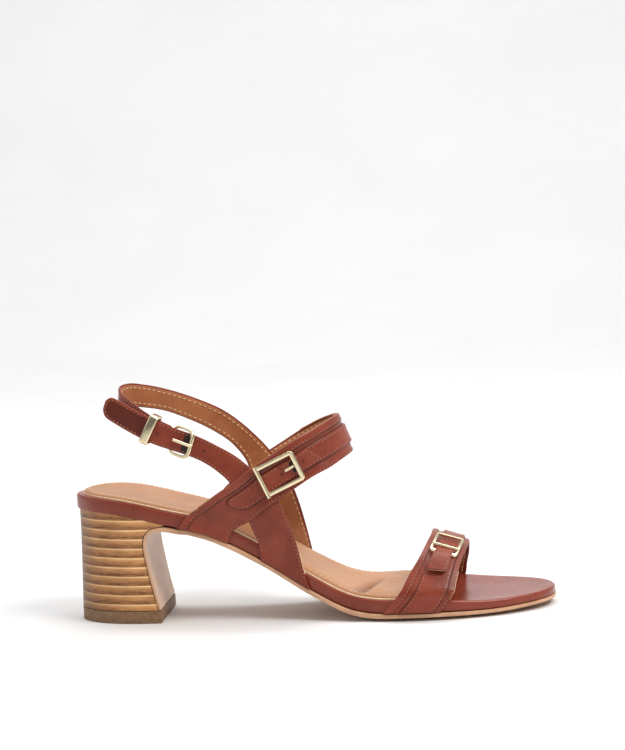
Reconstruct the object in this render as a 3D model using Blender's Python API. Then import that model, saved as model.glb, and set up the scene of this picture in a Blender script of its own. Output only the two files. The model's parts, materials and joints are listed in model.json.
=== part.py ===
"""Block heel sandal for the right foot, standing empty on its heel and forefoot.

X runs from heel to toe, +Y is the inner (medial) side and +Z is up. The origin is the middle
of the heel lift's floor face. Every outline, section and strap station is a share of a named size.
"""

import math

import bmesh
import bpy
import numpy as np

# Sole sizes, in metres
LENGTH = 0.238
BALL_WIDTH = 0.079
SEAT_HEIGHT = 0.0540
TOE_SPRING = 0.0032
CROWN = 0.0015
OUTSOLE = 0.0024
LEDGE = 0.0016
PLATFORM = 0.0074
PLATFORM_ROUND = 0.0011
PAD = 0.0015
PAD_INSET = 0.0014
CUSHION_RISE = 0.0016

# Heel sizes, in metres
LIFT = 0.0062
LIFT_PROUD = 0.0003
FLAP = 0.0014

# Strap sizes, in metres
CLEAR = 0.0003
WALL = 0.0017
OVERLAY = 0.0013
FUSE = 0.0004
HIGH_RISE = 0.076
TOE_RISE = 0.028

# Buckle sizes, in metres: length along the strap, width across it and thickness of the bar
BAR = 0.0017
ANKLE_BUCKLE = (0.0134, 0.0152)
INSTEP_BUCKLE = (0.0200, 0.0154)
TOE_BUCKLE = (0.0136, 0.0140)
ANKLE_TILT = 22.5
ANKLE_BAR = 0.0015
KEEPER = 0.0044
KEEPER_HOLE = (0.0101, 0.0150)
KEEPER_SINK = 0.0035
KEEPER_WALL = 0.0010
PIN = 0.0013
STUB = 0.0050
TAB = 0.0215
TAB_WALL = 0.0012
TAB_STAND = 0.0030

# Shares of LENGTH: origin under the heel, front of the heel's seat and front of the pad
ORIGIN = 0.0885
SEAT_FRONT = 0.200
PAD_FRONT = 0.765

# Number of stations along the solids and of cells across them
SOLE_ROWS = 34
SOLE_CELLS = 8
STRAP_CELLS = 4

# Plan outline of the footbed: shares of BALL_WIDTH to the outer and to the inner side
OUTLINE = (
    # along, lateral, medial
    (0.000, 0.000, 0.000),
    (0.020, 0.165, 0.171),
    (0.060, 0.282, 0.295),
    (0.120, 0.346, 0.365),
    (0.200, 0.361, 0.365),
    (0.300, 0.346, 0.316),
    (0.420, 0.346, 0.289),
    (0.520, 0.395, 0.342),
    (0.600, 0.449, 0.418),
    (0.670, 0.484, 0.487),
    (0.730, 0.489, 0.511),
    (0.790, 0.472, 0.510),
    (0.850, 0.428, 0.481),
    (0.905, 0.358, 0.420),
    (0.950, 0.266, 0.329),
    (0.980, 0.171, 0.230),
    (1.000, -0.035, 0.035),
)

# Side profile: shares of SEAT_HEIGHT, TOE_SPRING, PLATFORM, OUTSOLE and CROWN
PROFILE = (
    # along, seat, spring, platform, outsole, crown
    (0.00, 1.0000, 0.00, 1.00, 1.00, 0.00),
    (0.10, 0.9685, 0.00, 1.00, 1.00, 0.00),
    (0.20, 0.8667, 0.00, 1.00, 1.00, 0.00),
    (0.30, 0.7407, 0.00, 1.00, 1.00, 0.00),
    (0.40, 0.5087, 0.00, 0.99, 1.00, 0.00),
    (0.50, 0.2278, 0.00, 0.96, 1.00, 0.20),
    (0.58, 0.0463, 0.00, 0.93, 1.00, 0.60),
    (0.66, 0.0000, 0.00, 0.89, 0.92, 0.95),
    (0.75, 0.0000, 0.05, 0.78, 0.83, 1.00),
    (0.87, 0.0000, 0.20, 0.58, 0.75, 0.70),
    (1.00, 0.0000, 1.00, 0.50, 0.70, 0.00),
)

# Cushion of the pad above its edge, as shares of CUSHION_RISE
CUSHION = (
    # along, middle, medial
    (0.00, 0.30, 0.60),
    (0.10, -0.30, 0.70),
    (0.25, -0.10, 0.90),
    (0.42, 0.50, 1.40),
    (0.54, 0.80, 1.20),
    (0.61, 0.40, 0.50),
    (0.69, 1.20, 1.20),
    (0.78, 0.60, 0.60),
)

# Heel block by level, a share of SEAT_HEIGHT: front and back as shares of LENGTH, breadth of the seat
HEEL = (
    # level, front, back, breadth
    (0.120, 0.1750, 0.0005, 0.850),
    (0.220, 0.1692, 0.0010, 0.858),
    (0.350, 0.1630, 0.0018, 0.872),
    (0.480, 0.1575, 0.0028, 0.890),
    (0.600, 0.1525, 0.0036, 0.910),
    (0.700, 0.1500, 0.0042, 0.930),
    (0.780, 0.1515, 0.0046, 0.948),
    (0.830, 0.1560, 0.0050, 0.958),
    (0.872, 0.1645, 0.0050, 0.965),
    (0.893, 0.1765, 0.0050, 0.970),
    (0.902, 0.1900, 0.0050, 0.975),
)

# Strap stations from the outer foot to the inner one. Both edges have a place along the sole, a
# spread, which is a share of the footbed's half width there, and a rise over the footbed's edge,
# which is a share of the strap's rise. A rise of -1 is the platform's underside.
INSTEP = (
    # rear: along, spread, rise; front: along, spread, rise
    (0.227, -1.00, -1.000, 0.330, -1.00, -1.000),
    (0.250, -1.00, 0.000, 0.342, -1.00, 0.000),
    (0.279, -1.07, 0.084, 0.383, -1.12, 0.143),
    (0.311, -1.12, 0.192, 0.407, -1.14, 0.246),
    (0.345, -1.16, 0.310, 0.439, -1.12, 0.378),
    (0.384, -1.16, 0.470, 0.479, -1.04, 0.540),
    (0.426, -1.13, 0.632, 0.513, -0.92, 0.664),
    (0.471, -1.00, 0.810, 0.547, -0.74, 0.770),
    (0.517, -0.76, 0.968, 0.570, -0.49, 0.838),
    (0.546, -0.42, 1.059, 0.584, -0.24, 0.873),
    (0.561, 0.00, 1.099, 0.590, 0.00, 0.885),
    (0.546, 0.47, 1.059, 0.584, 0.26, 0.873),
    (0.517, 0.84, 0.968, 0.570, 0.52, 0.838),
    (0.471, 1.11, 0.810, 0.547, 0.79, 0.770),
    (0.426, 1.25, 0.632, 0.513, 0.98, 0.664),
    (0.384, 1.26, 0.470, 0.479, 1.14, 0.540),
    (0.353, 1.22, 0.338, 0.444, 1.23, 0.395),
    (0.326, 1.15, 0.230, 0.416, 1.25, 0.268),
    (0.300, 1.08, 0.126, 0.394, 1.20, 0.159),
    (0.277, 1.00, 0.000, 0.359, 1.00, 0.000),
    (0.258, 1.00, -1.000, 0.349, 1.00, -1.000),
)

# Outer leg, and its sling with the loose tail; the first edge is the lower one
OUTER_SLING = (
    # lower: along, spread, rise; upper: along, spread, rise
    (0.397, -1.00, -1.000, 0.496, -1.00, -1.000),
    (0.394, -1.00, 0.000, 0.486, -1.00, 0.000),
    (0.386, -1.07, 0.067, 0.472, -1.01, 0.166),
    (0.377, -1.09, 0.125, 0.457, -1.05, 0.286),
    (0.366, -1.11, 0.188, 0.439, -1.07, 0.381),
    (0.354, -1.11, 0.256, 0.416, -1.10, 0.451),
    (0.340, -1.09, 0.322, 0.385, -1.10, 0.492),
    (0.316, -1.05, 0.357, 0.352, -1.06, 0.517),
    (0.291, -1.00, 0.378, 0.319, -1.01, 0.523),
    (0.258, -0.94, 0.393, 0.279, -0.95, 0.536),
    (0.218, -0.88, 0.405, 0.237, -0.89, 0.550),
    (0.180, -0.84, 0.419, 0.199, -0.84, 0.569),
    (0.130, -0.82, 0.465, 0.147, -0.81, 0.617),
    (0.077, -0.90, 0.547, 0.093, -0.85, 0.684),
)

# Sling from the ankle buckle round the heel to the inner leg; the first edge is the lower one
INNER_SLING = (
    # lower: along, spread, rise; upper: along, spread, rise
    (0.212, -0.72, 0.404, 0.230, -0.72, 0.549),
    (0.183, -0.69, 0.420, 0.200, -0.69, 0.571),
    (0.151, -0.62, 0.451, 0.166, -0.62, 0.604),
    (0.121, -0.46, 0.493, 0.132, -0.45, 0.648),
    (0.102, -0.25, 0.530, 0.109, -0.24, 0.681),
    (0.096, 0.00, 0.561, 0.102, 0.00, 0.712),
    (0.106, 0.27, 0.575, 0.116, 0.26, 0.730),
    (0.132, 0.47, 0.571, 0.143, 0.48, 0.729),
    (0.186, 0.71, 0.569, 0.202, 0.72, 0.718),
    (0.237, 0.88, 0.535, 0.256, 0.91, 0.689),
    (0.285, 1.02, 0.493, 0.319, 1.07, 0.652),
    (0.324, 1.10, 0.448, 0.365, 1.16, 0.601),
    (0.350, 1.15, 0.376, 0.397, 1.20, 0.548),
    (0.361, 1.17, 0.266, 0.424, 1.20, 0.475),
    (0.370, 1.18, 0.188, 0.445, 1.18, 0.393),
    (0.380, 1.17, 0.127, 0.460, 1.15, 0.288),
    (0.387, 1.14, 0.065, 0.472, 1.12, 0.159),
    (0.394, 1.00, 0.000, 0.485, 1.00, 0.000),
    (0.397, 1.00, -1.000, 0.494, 1.00, -1.000),
)

TOE = (
    # rear: along, spread, rise; front: along, spread, rise
    (0.645, -1.00, -1.000, 0.762, -1.00, -1.000),
    (0.669, -1.00, 0.000, 0.781, -1.00, 0.000),
    (0.684, -0.99, 0.158, 0.791, -1.00, 0.153),
    (0.701, -0.86, 0.406, 0.797, -0.90, 0.339),
    (0.721, -0.70, 0.659, 0.806, -0.74, 0.583),
    (0.736, -0.47, 0.863, 0.815, -0.50, 0.753),
    (0.745, -0.23, 0.972, 0.822, -0.25, 0.821),
    (0.748, 0.00, 1.009, 0.825, 0.00, 0.844),
    (0.749, 0.23, 0.974, 0.824, 0.25, 0.808),
    (0.743, 0.47, 0.829, 0.824, 0.50, 0.676),
    (0.729, 0.71, 0.575, 0.821, 0.72, 0.460),
    (0.710, 0.94, 0.250, 0.815, 0.92, 0.203),
    (0.697, 1.00, 0.000, 0.811, 1.00, 0.000),
    (0.676, 1.00, -1.000, 0.800, 1.00, -1.000),
)

# Raised panels: start and end along the strap in stations, then both edges across it from -1 to 1
INSTEP_PANEL = (2.6, 17.4, -0.44, 0.50)
TOE_PANEL = (0.0, 13.0, -0.42, 0.72)

# Loose tab of the toe slider: both edges across the strap
TAB_EDGES = (-0.50, 0.62)

# Places along the straps, in stations
ANKLE_AT = 9.62
KEEPER_AT = 11.25
INSTEP_AT = 5.40
TOE_AT = 5.25


def spline(knots, values, at, calm=False):
    """Smooth curve through the knots; a calm one stays level where its values do."""
    t = np.asarray(knots, float)
    v = np.asarray(values, float)
    a = np.clip(np.asarray(at, float), t[0], t[-1])
    h = np.diff(t)
    d = np.diff(v) / h
    m = np.empty_like(v)
    m[1:-1] = (d[:-1] * h[1:] + d[1:] * h[:-1]) / (h[:-1] + h[1:])
    m[0] = d[0]
    m[-1] = d[-1]
    if calm:
        m[1:-1] = np.where(d[:-1] * d[1:] <= 0, 0.0, m[1:-1])
    i = np.clip(np.searchsorted(t, a, side="right") - 1, 0, len(h) - 1)
    s = (a - t[i]) / h[i]
    rise = (2 * s**3 - 3 * s**2 + 1) * v[i] + (3 * s**2 - 2 * s**3) * v[i + 1]
    return rise + ((s**3 - 2 * s**2 + s) * m[i] + (s**3 - s**2) * m[i + 1]) * h[i]


def turn(along):
    """Even spacing round the ends of the outline: 0 at the heel and 1 at the toe."""
    return np.arccos(1 - 2 * np.clip(along, 0, 1)) / math.pi


def column(table, name):
    """One column of a table."""
    return [row[name] for row in table]


def lateral(along):
    """Footbed's half width on the outer side."""
    return BALL_WIDTH * spline(turn(column(OUTLINE, 0)), column(OUTLINE, 1), turn(along))


def medial(along):
    """Footbed's half width on the inner side."""
    return BALL_WIDTH * spline(turn(column(OUTLINE, 0)), column(OUTLINE, 2), turn(along))


def profile(name, along):
    """One column of the side profile."""
    return spline(column(PROFILE, 0), column(PROFILE, name), along, calm=True)


def across(along, y):
    """Place across the footbed, from -1 at the outer edge to 1 at the inner edge."""
    half = np.maximum((medial(along) + lateral(along)) / 2, 0.02 * BALL_WIDTH)
    return np.clip((y - (medial(along) - lateral(along)) / 2) / half, -1, 1)


def ground(along, y):
    """Underside of the outsole: flat in the middle of the forefoot and lifted at its edges."""
    v = np.abs(across(along, y))
    lift = np.clip((v - 0.4) / 0.6, 0, 1) ** 1.5
    sides = CROWN * profile(5, along) * lift
    return SEAT_HEIGHT * profile(1, along) + TOE_SPRING * profile(2, along) + sides


def under(along, y):
    """Underside of the platform."""
    return ground(along, y) + OUTSOLE * profile(4, along) + CLEAR


def deck(along, y):
    """Top of the platform."""
    return under(along, y) + PLATFORM * profile(3, along)


def rim(along):
    """Height of the platform's top edge."""
    return deck(along, -lateral(along))


def place(along):
    """World X of a share of LENGTH."""
    return (along - ORIGIN) * LENGTH


def rows_of(along, inset, end=0.0):
    """Plan rows across the outline, moved inwards by the inset; end is the front row's inset."""
    a = np.asarray(along, float)
    outer = np.stack([a * LENGTH, -lateral(a)], 1)
    inner = np.stack([a * LENGTH, medial(a)], 1)
    rows = []
    for edge, side in ((outer, 1.0), (inner, -1.0)):
        slope = np.gradient(edge, axis=0)
        if a[0] == 0.0:
            slope[0] = (0.0, -side)
        if a[-1] == 1.0:
            slope[-1] = (0.0, side)
        slope /= np.linalg.norm(slope, axis=1)[:, None]
        rows.append(edge + inset * side * np.stack([-slope[:, 1], slope[:, 0]], 1))
    k = np.linspace(0, 1, SOLE_CELLS + 1)[None, :, None]
    grid = rows[0][:, None, :] * (1 - k) + rows[1][:, None, :] * k
    grid[-1, :, 0] -= end
    return grid


def lifted(grid, height):
    """Rows in space: the height is a function of the place along and of y."""
    along = grid[..., 0] / LENGTH
    z = height(along, grid[..., 1])
    return np.stack([place(along), grid[..., 1], z], -1)


def material(name, colour, roughness, metallic=0.0):
    """Plain Principled material."""
    made = bpy.data.materials.new(name)
    made.use_nodes = True
    shader = made.node_tree.nodes["Principled BSDF"]
    shader.inputs["Base Color"].default_value = (*colour, 1.0)
    shader.inputs["Roughness"].default_value = roughness
    shader.inputs["Metallic"].default_value = metallic
    return made


def crease(shape):
    """Smooth shading with sharp corners."""
    for face in shape.faces:
        face.smooth = True
    for edge in shape.edges:
        edge.smooth = len(edge.link_faces) != 2 or edge.calc_face_angle() < math.radians(35)


def solid(name, verts, faces):
    """Closed object from points and faces, with its normals pointing out."""
    mesh = bpy.data.meshes.new(name)
    mesh.from_pydata([tuple(map(float, v)) for v in verts], [], faces)
    shape = bmesh.new()
    shape.from_mesh(mesh)
    bmesh.ops.remove_doubles(shape, verts=shape.verts, dist=1e-6)
    bmesh.ops.dissolve_degenerate(shape, edges=shape.edges, dist=1e-7)
    bmesh.ops.recalc_face_normals(shape, faces=shape.faces)
    if shape.calc_volume(signed=True) < 0:
        bmesh.ops.reverse_faces(shape, faces=shape.faces)
    crease(shape)
    shape.to_mesh(mesh)
    shape.free()
    made = bpy.data.objects.new(name, mesh)
    bpy.context.scene.collection.objects.link(made)
    return made


def loft(name, layers):
    """Closed body from layers of rows, capped over its first and its last layer."""
    n, k = layers[0].shape[:2]
    size = n * k
    verts = np.concatenate([layer.reshape(-1, 3) for layer in layers])
    edge = [(0, j) for j in range(k - 1, -1, -1)]
    edge += [(i, 0) for i in range(1, n)]
    edge += [(n - 1, j) for j in range(1, k)]
    edge += [(i, k - 1) for i in range(n - 2, 0, -1)]
    faces = []
    for i in range(n - 1):
        for j in range(k - 1):
            cell = [i * k + j, (i + 1) * k + j, (i + 1) * k + j + 1, i * k + j + 1]
            faces.append(cell)
            last = (len(layers) - 1) * size
            faces.append([last + c for c in reversed(cell)])
    loop = [i * k + j for i, j in edge]
    for level in range(len(layers) - 1):
        for a, b in zip(loop, loop[1:] + loop[:1]):
            low = level * size
            faces.append([low + a, low + b, low + size + b, low + size + a])
    used = sorted({v for face in faces for v in face})
    index = {v: i for i, v in enumerate(used)}
    return solid(name, verts[used], [[index[v] for v in face] for face in faces])


class Strap:
    """Smooth strap surface through stations; the surface is the strap's outer face."""

    def __init__(self, table, rise):
        self.rear = np.array([self.edge(row[:3], rise) for row in table])
        self.front = np.array([self.edge(row[3:], rise) for row in table])
        middle = self.world((self.rear + self.front) / 2)
        steps = np.linalg.norm(np.diff(middle, axis=0), axis=1)
        self.travel = np.concatenate([[0.0], np.cumsum(steps)])
        self.count = len(table)

    def edge(self, shares, rise):
        """Place along, spread and height over the footbed's edge, in metres."""
        along, spread, up = shares
        if up < 0:
            return along, spread, up * PLATFORM * float(profile(3, along))
        return along, spread, up * rise

    def world(self, shares):
        """World places of points given along, in spread and over the footbed's edge."""
        along, spread, up = shares[..., 0], shares[..., 1], shares[..., 2]
        half = np.where(spread < 0, lateral(along), medial(along))
        width = np.abs(spread) * half + np.minimum(np.abs(spread), 1) * (CLEAR + WALL)
        return np.stack([place(along), np.sign(spread) * width, rim(along) + up], -1)

    def distance(self, station):
        """Distance along the strap of a station, which may be a fraction."""
        return float(np.interp(station, range(self.count), self.travel))

    def skin(self, at, c):
        """Points at distances along and shares across."""
        at = np.asarray(at, float)
        edges = []
        for side in (self.rear, self.front):
            edges.append(np.stack([spline(self.travel, side[:, i], at) for i in range(3)], -1))
        share = (np.asarray(c, float)[..., None] + 1) / 2
        return self.world(edges[0] * (1 - share) + edges[1] * share)

    def frame(self, at, c=0.0):
        """Place, direction along, direction across and outward normal."""
        step = 0.0004
        here = self.skin([at], [c])[0]
        ahead = self.skin([at + step], [c])[0] - self.skin([at - step], [c])[0]
        wide = self.skin([at], [min(c + 0.1, 1)])[0] - self.skin([at], [max(c - 0.1, -1)])[0]
        normal = np.cross(wide, ahead)
        normal /= np.linalg.norm(normal)
        ahead /= np.linalg.norm(ahead)
        return here, ahead, np.cross(ahead, normal), normal

    def band(self, name, start, stop, edges, heights, step, tips=(0.0, 0.0)):
        """Closed band: distances along, shares across, heights over the face, rounded tips."""
        count = max(int(round((stop - start) / step)), 2)
        at = list(np.linspace(start, stop, count + 1))
        for tip, sign, end in ((tips[0], 1, start), (tips[1], -1, stop)):
            if tip:
                near = [end + sign * tip * k for k in (0.12, 0.4, 0.8)]
                at = [a for a in at if a == end or abs(a - end) > tip] + near
        at = np.array(sorted(at))
        width = np.ones_like(at)
        for tip, end in ((tips[0], start), (tips[1], stop)):
            if tip:
                reach = np.clip(np.abs(at - end) / tip, 0, 1)
                width *= np.sqrt(1 - 0.88 * (1 - reach) ** 2)
        middle = (edges[0] + edges[1]) / 2
        half = (edges[1] - edges[0]) / 2
        cells = np.linspace(-1, 1, STRAP_CELLS + 1)
        c = middle + half * width[:, None] * cells[None, :]
        grid = self.skin(np.repeat(at[:, None], len(cells), 1), c)
        along = np.gradient(grid, at, axis=0)
        wide = np.gradient(grid, axis=1)
        normal = np.cross(wide, along)
        normal /= np.linalg.norm(normal, axis=2)[..., None]
        layers = []
        for height in heights:
            high = np.interp(at, (start, stop), height) if isinstance(height, tuple) else height
            layers.append(grid + normal * (np.ones_like(at) * high)[:, None, None])
        return loft(name, layers)


def join(base, others):
    """Union of the base with the others, which are removed."""
    for other in others:
        step = base.modifiers.new("join", "BOOLEAN")
        step.operation = "UNION"
        step.solver = "EXACT"
        step.object = other
        graph = bpy.context.evaluated_depsgraph_get()
        result = bpy.data.meshes.new_from_object(base.evaluated_get(graph))
        base.modifiers.clear()
        base.data = result
        bpy.data.objects.remove(other, do_unlink=True)
    shape = bmesh.new()
    shape.from_mesh(base.data)
    bmesh.ops.remove_doubles(shape, verts=shape.verts, dist=1e-6)
    bmesh.ops.dissolve_degenerate(shape, edges=shape.edges, dist=1e-6)
    bmesh.ops.triangulate(shape, faces=[f for f in shape.faces if len(f.verts) > 4])
    crease(shape)
    shape.to_mesh(base.data)
    shape.free()
    return base


def hoop(name, here, axes, size, bar, depth, corner, sides=8):
    """Closed frame round a spot: its length and width lie along the first two axes."""
    along, wide, normal = axes
    length, width = size
    radius = corner * min(length, width)
    path = []
    for number, (sx, sy) in enumerate(((1, 1), (-1, 1), (-1, -1), (1, -1))):
        for k in range(5):
            angle = math.radians(90 * number + 22.5 * k)
            x = sx * (length / 2 - bar / 2 - radius) + radius * math.cos(angle)
            y = sy * (width / 2 - bar / 2 - radius) + radius * math.sin(angle)
            path.append((x, y, math.cos(angle), math.sin(angle)))
    verts = []
    for x, y, nx, ny in path:
        for k in range(sides):
            angle = 2 * math.pi * (k + 0.5) / sides
            out = bar / 2 * math.cos(angle) / math.cos(math.pi / sides)
            up = depth / 2 * math.sin(angle) / math.cos(math.pi / sides)
            out = max(-bar / 2, min(bar / 2, out * 1.2))
            up = max(-depth / 2, min(depth / 2, up * 1.2))
            verts.append(here + along * (x + nx * out) + wide * (y + ny * out) + normal * up)
    n = len(path)
    faces = []
    for i in range(n):
        for k in range(sides):
            low = i * sides
            high = ((i + 1) % n) * sides
            nxt = (k + 1) % sides
            faces.append([low + k, low + nxt, high + nxt, high + k])
    return solid(name, verts, faces)


def rod(name, frame, ends, radius, sides=8):
    """Round bar between two places given along, across and over the strap."""
    here, along, wide, normal = frame
    points = [here + along * x + wide * y + normal * z for x, y, z in ends]
    way = points[1] - points[0]
    way /= np.linalg.norm(way)
    first = np.cross(way, normal if abs(way @ normal) < 0.8 else wide)
    first /= np.linalg.norm(first)
    second = np.cross(way, first)
    verts = []
    for point in points:
        for k in range(sides):
            angle = 2 * math.pi * k / sides
            verts.append(point + radius * (first * math.cos(angle) + second * math.sin(angle)))
    faces = [[k, (k + 1) % sides, sides + (k + 1) % sides, sides + k] for k in range(sides)]
    faces += [list(range(sides)), list(range(2 * sides - 1, sides - 1, -1))]
    return solid(name, verts, faces)


def spaced(end, count):
    """Places along, close together at the heel and, for a whole sole, at the toe."""
    if end == 1.0:
        return (1 - np.cos(np.linspace(0, math.pi, count + 1))) / 2
    return end * (1 - np.cos(np.linspace(0, math.pi / 2, count + 1)))


def make_platform():
    """Wrapped insole platform with rounded edges."""
    along = spaced(1.0, SOLE_ROWS)
    r = PLATFORM_ROUND
    layers = [
        lifted(rows_of(along, r), deck),
        lifted(rows_of(along, r * 0.3), lambda a, y: deck(a, y) - r * 0.3),
        lifted(rows_of(along, 0.0), lambda a, y: deck(a, y) - r),
        lifted(rows_of(along, 0.0), lambda a, y: under(a, y) + r * 0.4),
        lifted(rows_of(along, r * 0.5), under),
    ]
    return loft("platform", layers)


def pad_top(a, y):
    """Top of the pad: flat at its edge and cushioned inside."""
    v = across(a, y)
    middle = spline(column(CUSHION, 0), column(CUSHION, 1), a)
    side = spline(column(CUSHION, 0), column(CUSHION, 2), a)
    share = np.clip((1 - np.abs(v)) / 0.35, 0, 1)
    rise = middle + (side - middle) * np.clip(v, 0, 1) ** 1.5
    return deck(a, y) + CLEAR + PAD + CUSHION_RISE * rise * (3 - 2 * share) * share**2


def make_pad():
    """Padded footbed from the heel to under the toe strap."""
    along = spaced(PAD_FRONT, SOLE_ROWS)
    soft = PAD * 0.45
    layers = [
        lifted(rows_of(along, PAD_INSET + soft, soft), pad_top),
        lifted(rows_of(along, PAD_INSET + soft * 0.3, soft * 0.3), lambda a, y: pad_top(a, y) - soft * 0.3),
        lifted(rows_of(along, PAD_INSET), lambda a, y: deck(a, y) + CLEAR + PAD - soft),
        lifted(rows_of(along, PAD_INSET), lambda a, y: deck(a, y) + CLEAR),
    ]
    return loft("footbed_pad", layers)


def heel_row(level):
    """Front, back and breadth of the heel block at a level, a share of SEAT_HEIGHT."""
    return [float(spline(column(HEEL, 0), column(HEEL, i), level)) for i in (1, 2, 3)]


def heel_plan(front, back, breadth, grow=0.0):
    """Rows across the heel block in plan."""
    share = 1 - np.cos(np.linspace(0, math.pi / 2, 13))
    along = back + share * (front - back)
    width = share * front
    k = np.linspace(0, 1, SOLE_CELLS + 1)
    outer = -(lateral(width) * breadth + grow * (share > 0))
    inner = medial(width) * breadth + grow * (share > 0)
    y = outer[:, None] * (1 - k) + inner[:, None] * k
    x = np.repeat((along * LENGTH)[:, None], len(k), 1)
    x[0] -= grow
    return np.stack([x, y], -1)


def make_heel():
    """Block heel that follows the seat and curves forward under it."""
    layers = []
    for row in HEEL:
        plan = heel_plan(*row[1:])
        z = row[0] * SEAT_HEIGHT
        if row is HEEL[0]:
            z = LIFT + CLEAR
        layers.append(lifted(plan, lambda a, y, z=z: np.full_like(y, z)))
    top = heel_plan(SEAT_FRONT, 0.005, 0.978)
    layers.append(lifted(top, seat_under))
    return loft("heel_block", layers[::-1])


def seat_under(a, y):
    """Top of the heel block, just under the platform."""
    return under(a, y) - CLEAR


def make_lift():
    """Top-lift on the floor, a little proud of the block and reaching under the flap."""
    level, front, back, breadth = HEEL[0]
    foot = heel_plan(front + (CLEAR + FLAP) / LENGTH, back, breadth, grow=LIFT_PROUD)
    layers = [
        lifted(foot, lambda a, y: np.full_like(y, LIFT)),
        lifted(foot, lambda a, y: np.full_like(y, 0.0)),
    ]
    return loft("heel_lift", layers)


def sole_path():
    """Inner line of the outsole in side view: down the breast of the heel, then along the arch."""
    path = []
    for level in ((LIFT + CLEAR) / SEAT_HEIGHT, 0.20, 0.28, 0.36, 0.44, 0.52, 0.60, 0.68, 0.74, 0.785, 0.82, 0.85, 0.872, 0.888, 0.898):
        front = heel_row(level)[0]
        path.append((front, level * SEAT_HEIGHT))
    path.append((0.197, 0.9035 * SEAT_HEIGHT))
    path += [(a, float(under(a, 0.0)) - 2 * CLEAR) for a in (0.212, 0.228)]
    return path


def make_outsole():
    """Outsole along the arch and forefoot, with its flap down the breast of the heel."""
    bent = sole_path()
    flat = 0.245 + (1 - 0.245) * np.sin(np.linspace(0, math.pi / 2, SOLE_ROWS))
    k = np.linspace(0, 1, SOLE_CELLS + 1)
    upper = []
    lower = []
    x = np.array([a * LENGTH for a, z in bent] + [flat[0] * LENGTH])
    z = np.array([z for a, z in bent] + [float(under(flat[0], 0.0)) - CLEAR])
    slope = np.stack([np.gradient(x), np.gradient(z)], 1)
    slope /= np.linalg.norm(slope, axis=1)[:, None]
    normal = np.stack([slope[:, 1], -slope[:, 0]], 1)
    for i, (a, level) in enumerate(bent):
        share = min(max((a - 0.150) / 0.045, 0.0), 1.0) if i > 6 else 0.0
        thick = FLAP + (OUTSOLE - FLAP) * share
        if i < len(bent) - 3:
            front, back, breadth = heel_row(level / SEAT_HEIGHT)
        else:
            front, breadth = a, 0.975
        y0 = -float(lateral(front)) * breadth
        y1 = float(medial(front)) * breadth
        y = y0 * (1 - k) + y1 * k
        for rows, reach in ((upper, CLEAR), (lower, CLEAR + thick)):
            px = x[i] + normal[i, 0] * reach
            pz = z[i] + normal[i, 1] * reach
            rows.append(np.stack([np.full_like(y, px - ORIGIN * LENGTH), y, np.full_like(y, pz)], -1))
    grid = rows_of(flat, -LEDGE)
    first = np.clip((flat - 0.245) / 0.08, 0, 1) * np.clip((1.06 - flat) / 0.3, 0, 1)
    first = first[:, None, None]
    tight = rows_of(flat, 0.0)
    tight[..., 1] *= 0.98
    grid = tight * (1 - first) + grid * first
    top = lifted(grid, lambda a, y: under(a, y) - CLEAR)
    base = lifted(grid, lambda a, y: under(a, y) - CLEAR - OUTSOLE * profile(4, a))
    upper = np.concatenate([np.array(upper), top])
    lower = np.concatenate([np.array(lower), base])
    return loft("outsole", [upper, lower])


def make_straps():
    """Rear upper and toe strap, each one solid with its raised panels."""
    skin = (0.0, -WALL)
    raised = (OVERLAY, -FUSE)
    outer = Strap(OUTER_SLING, HIGH_RISE)
    inner = Strap(INNER_SLING, HIGH_RISE)
    instep = Strap(INSTEP, HIGH_RISE)
    toe = Strap(TOE, TOE_RISE)
    whole = (-1.0, 1.0)
    rear = instep.band("rear_upper", 0.0, instep.travel[-1], whole, skin, 0.0050)
    legs = [
        outer.band("leg", 0.0, outer.travel[-1], whole, skin, 0.0050, (0.0, 0.004)),
        inner.band("sling", 0.0, inner.travel[-1], whole, skin, 0.0050, (0.003, 0.0)),
    ]
    start, stop, low, high = INSTEP_PANEL
    panel = instep.band("panel", instep.distance(start), instep.distance(stop),
                        (low, high), raised, 0.0050, (0.0045, 0.0045))
    rear = join(rear, legs + [panel])
    start, stop, low, high = TOE_PANEL
    front = toe.band("toe_strap", 0.0, toe.travel[-1], whole, skin, 0.0042)
    first = toe.distance(start) + 0.0006
    last = toe.distance(stop) - 0.0006
    panel = toe.band("panel", first, last, (low, high), raised, 0.0042)
    at = toe.distance(TOE_AT)
    rest = OVERLAY - FUSE
    tab = toe.band("tab", at - TAB, at - 0.0002, TAB_EDGES, ((rest + TAB_WALL + TAB_STAND, rest + TAB_WALL),
                   (rest + TAB_STAND, rest)), 0.0030, (0.0045, 0.0))
    front = join(front, [panel, tab])
    return rear, front, outer, instep, toe


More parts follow.
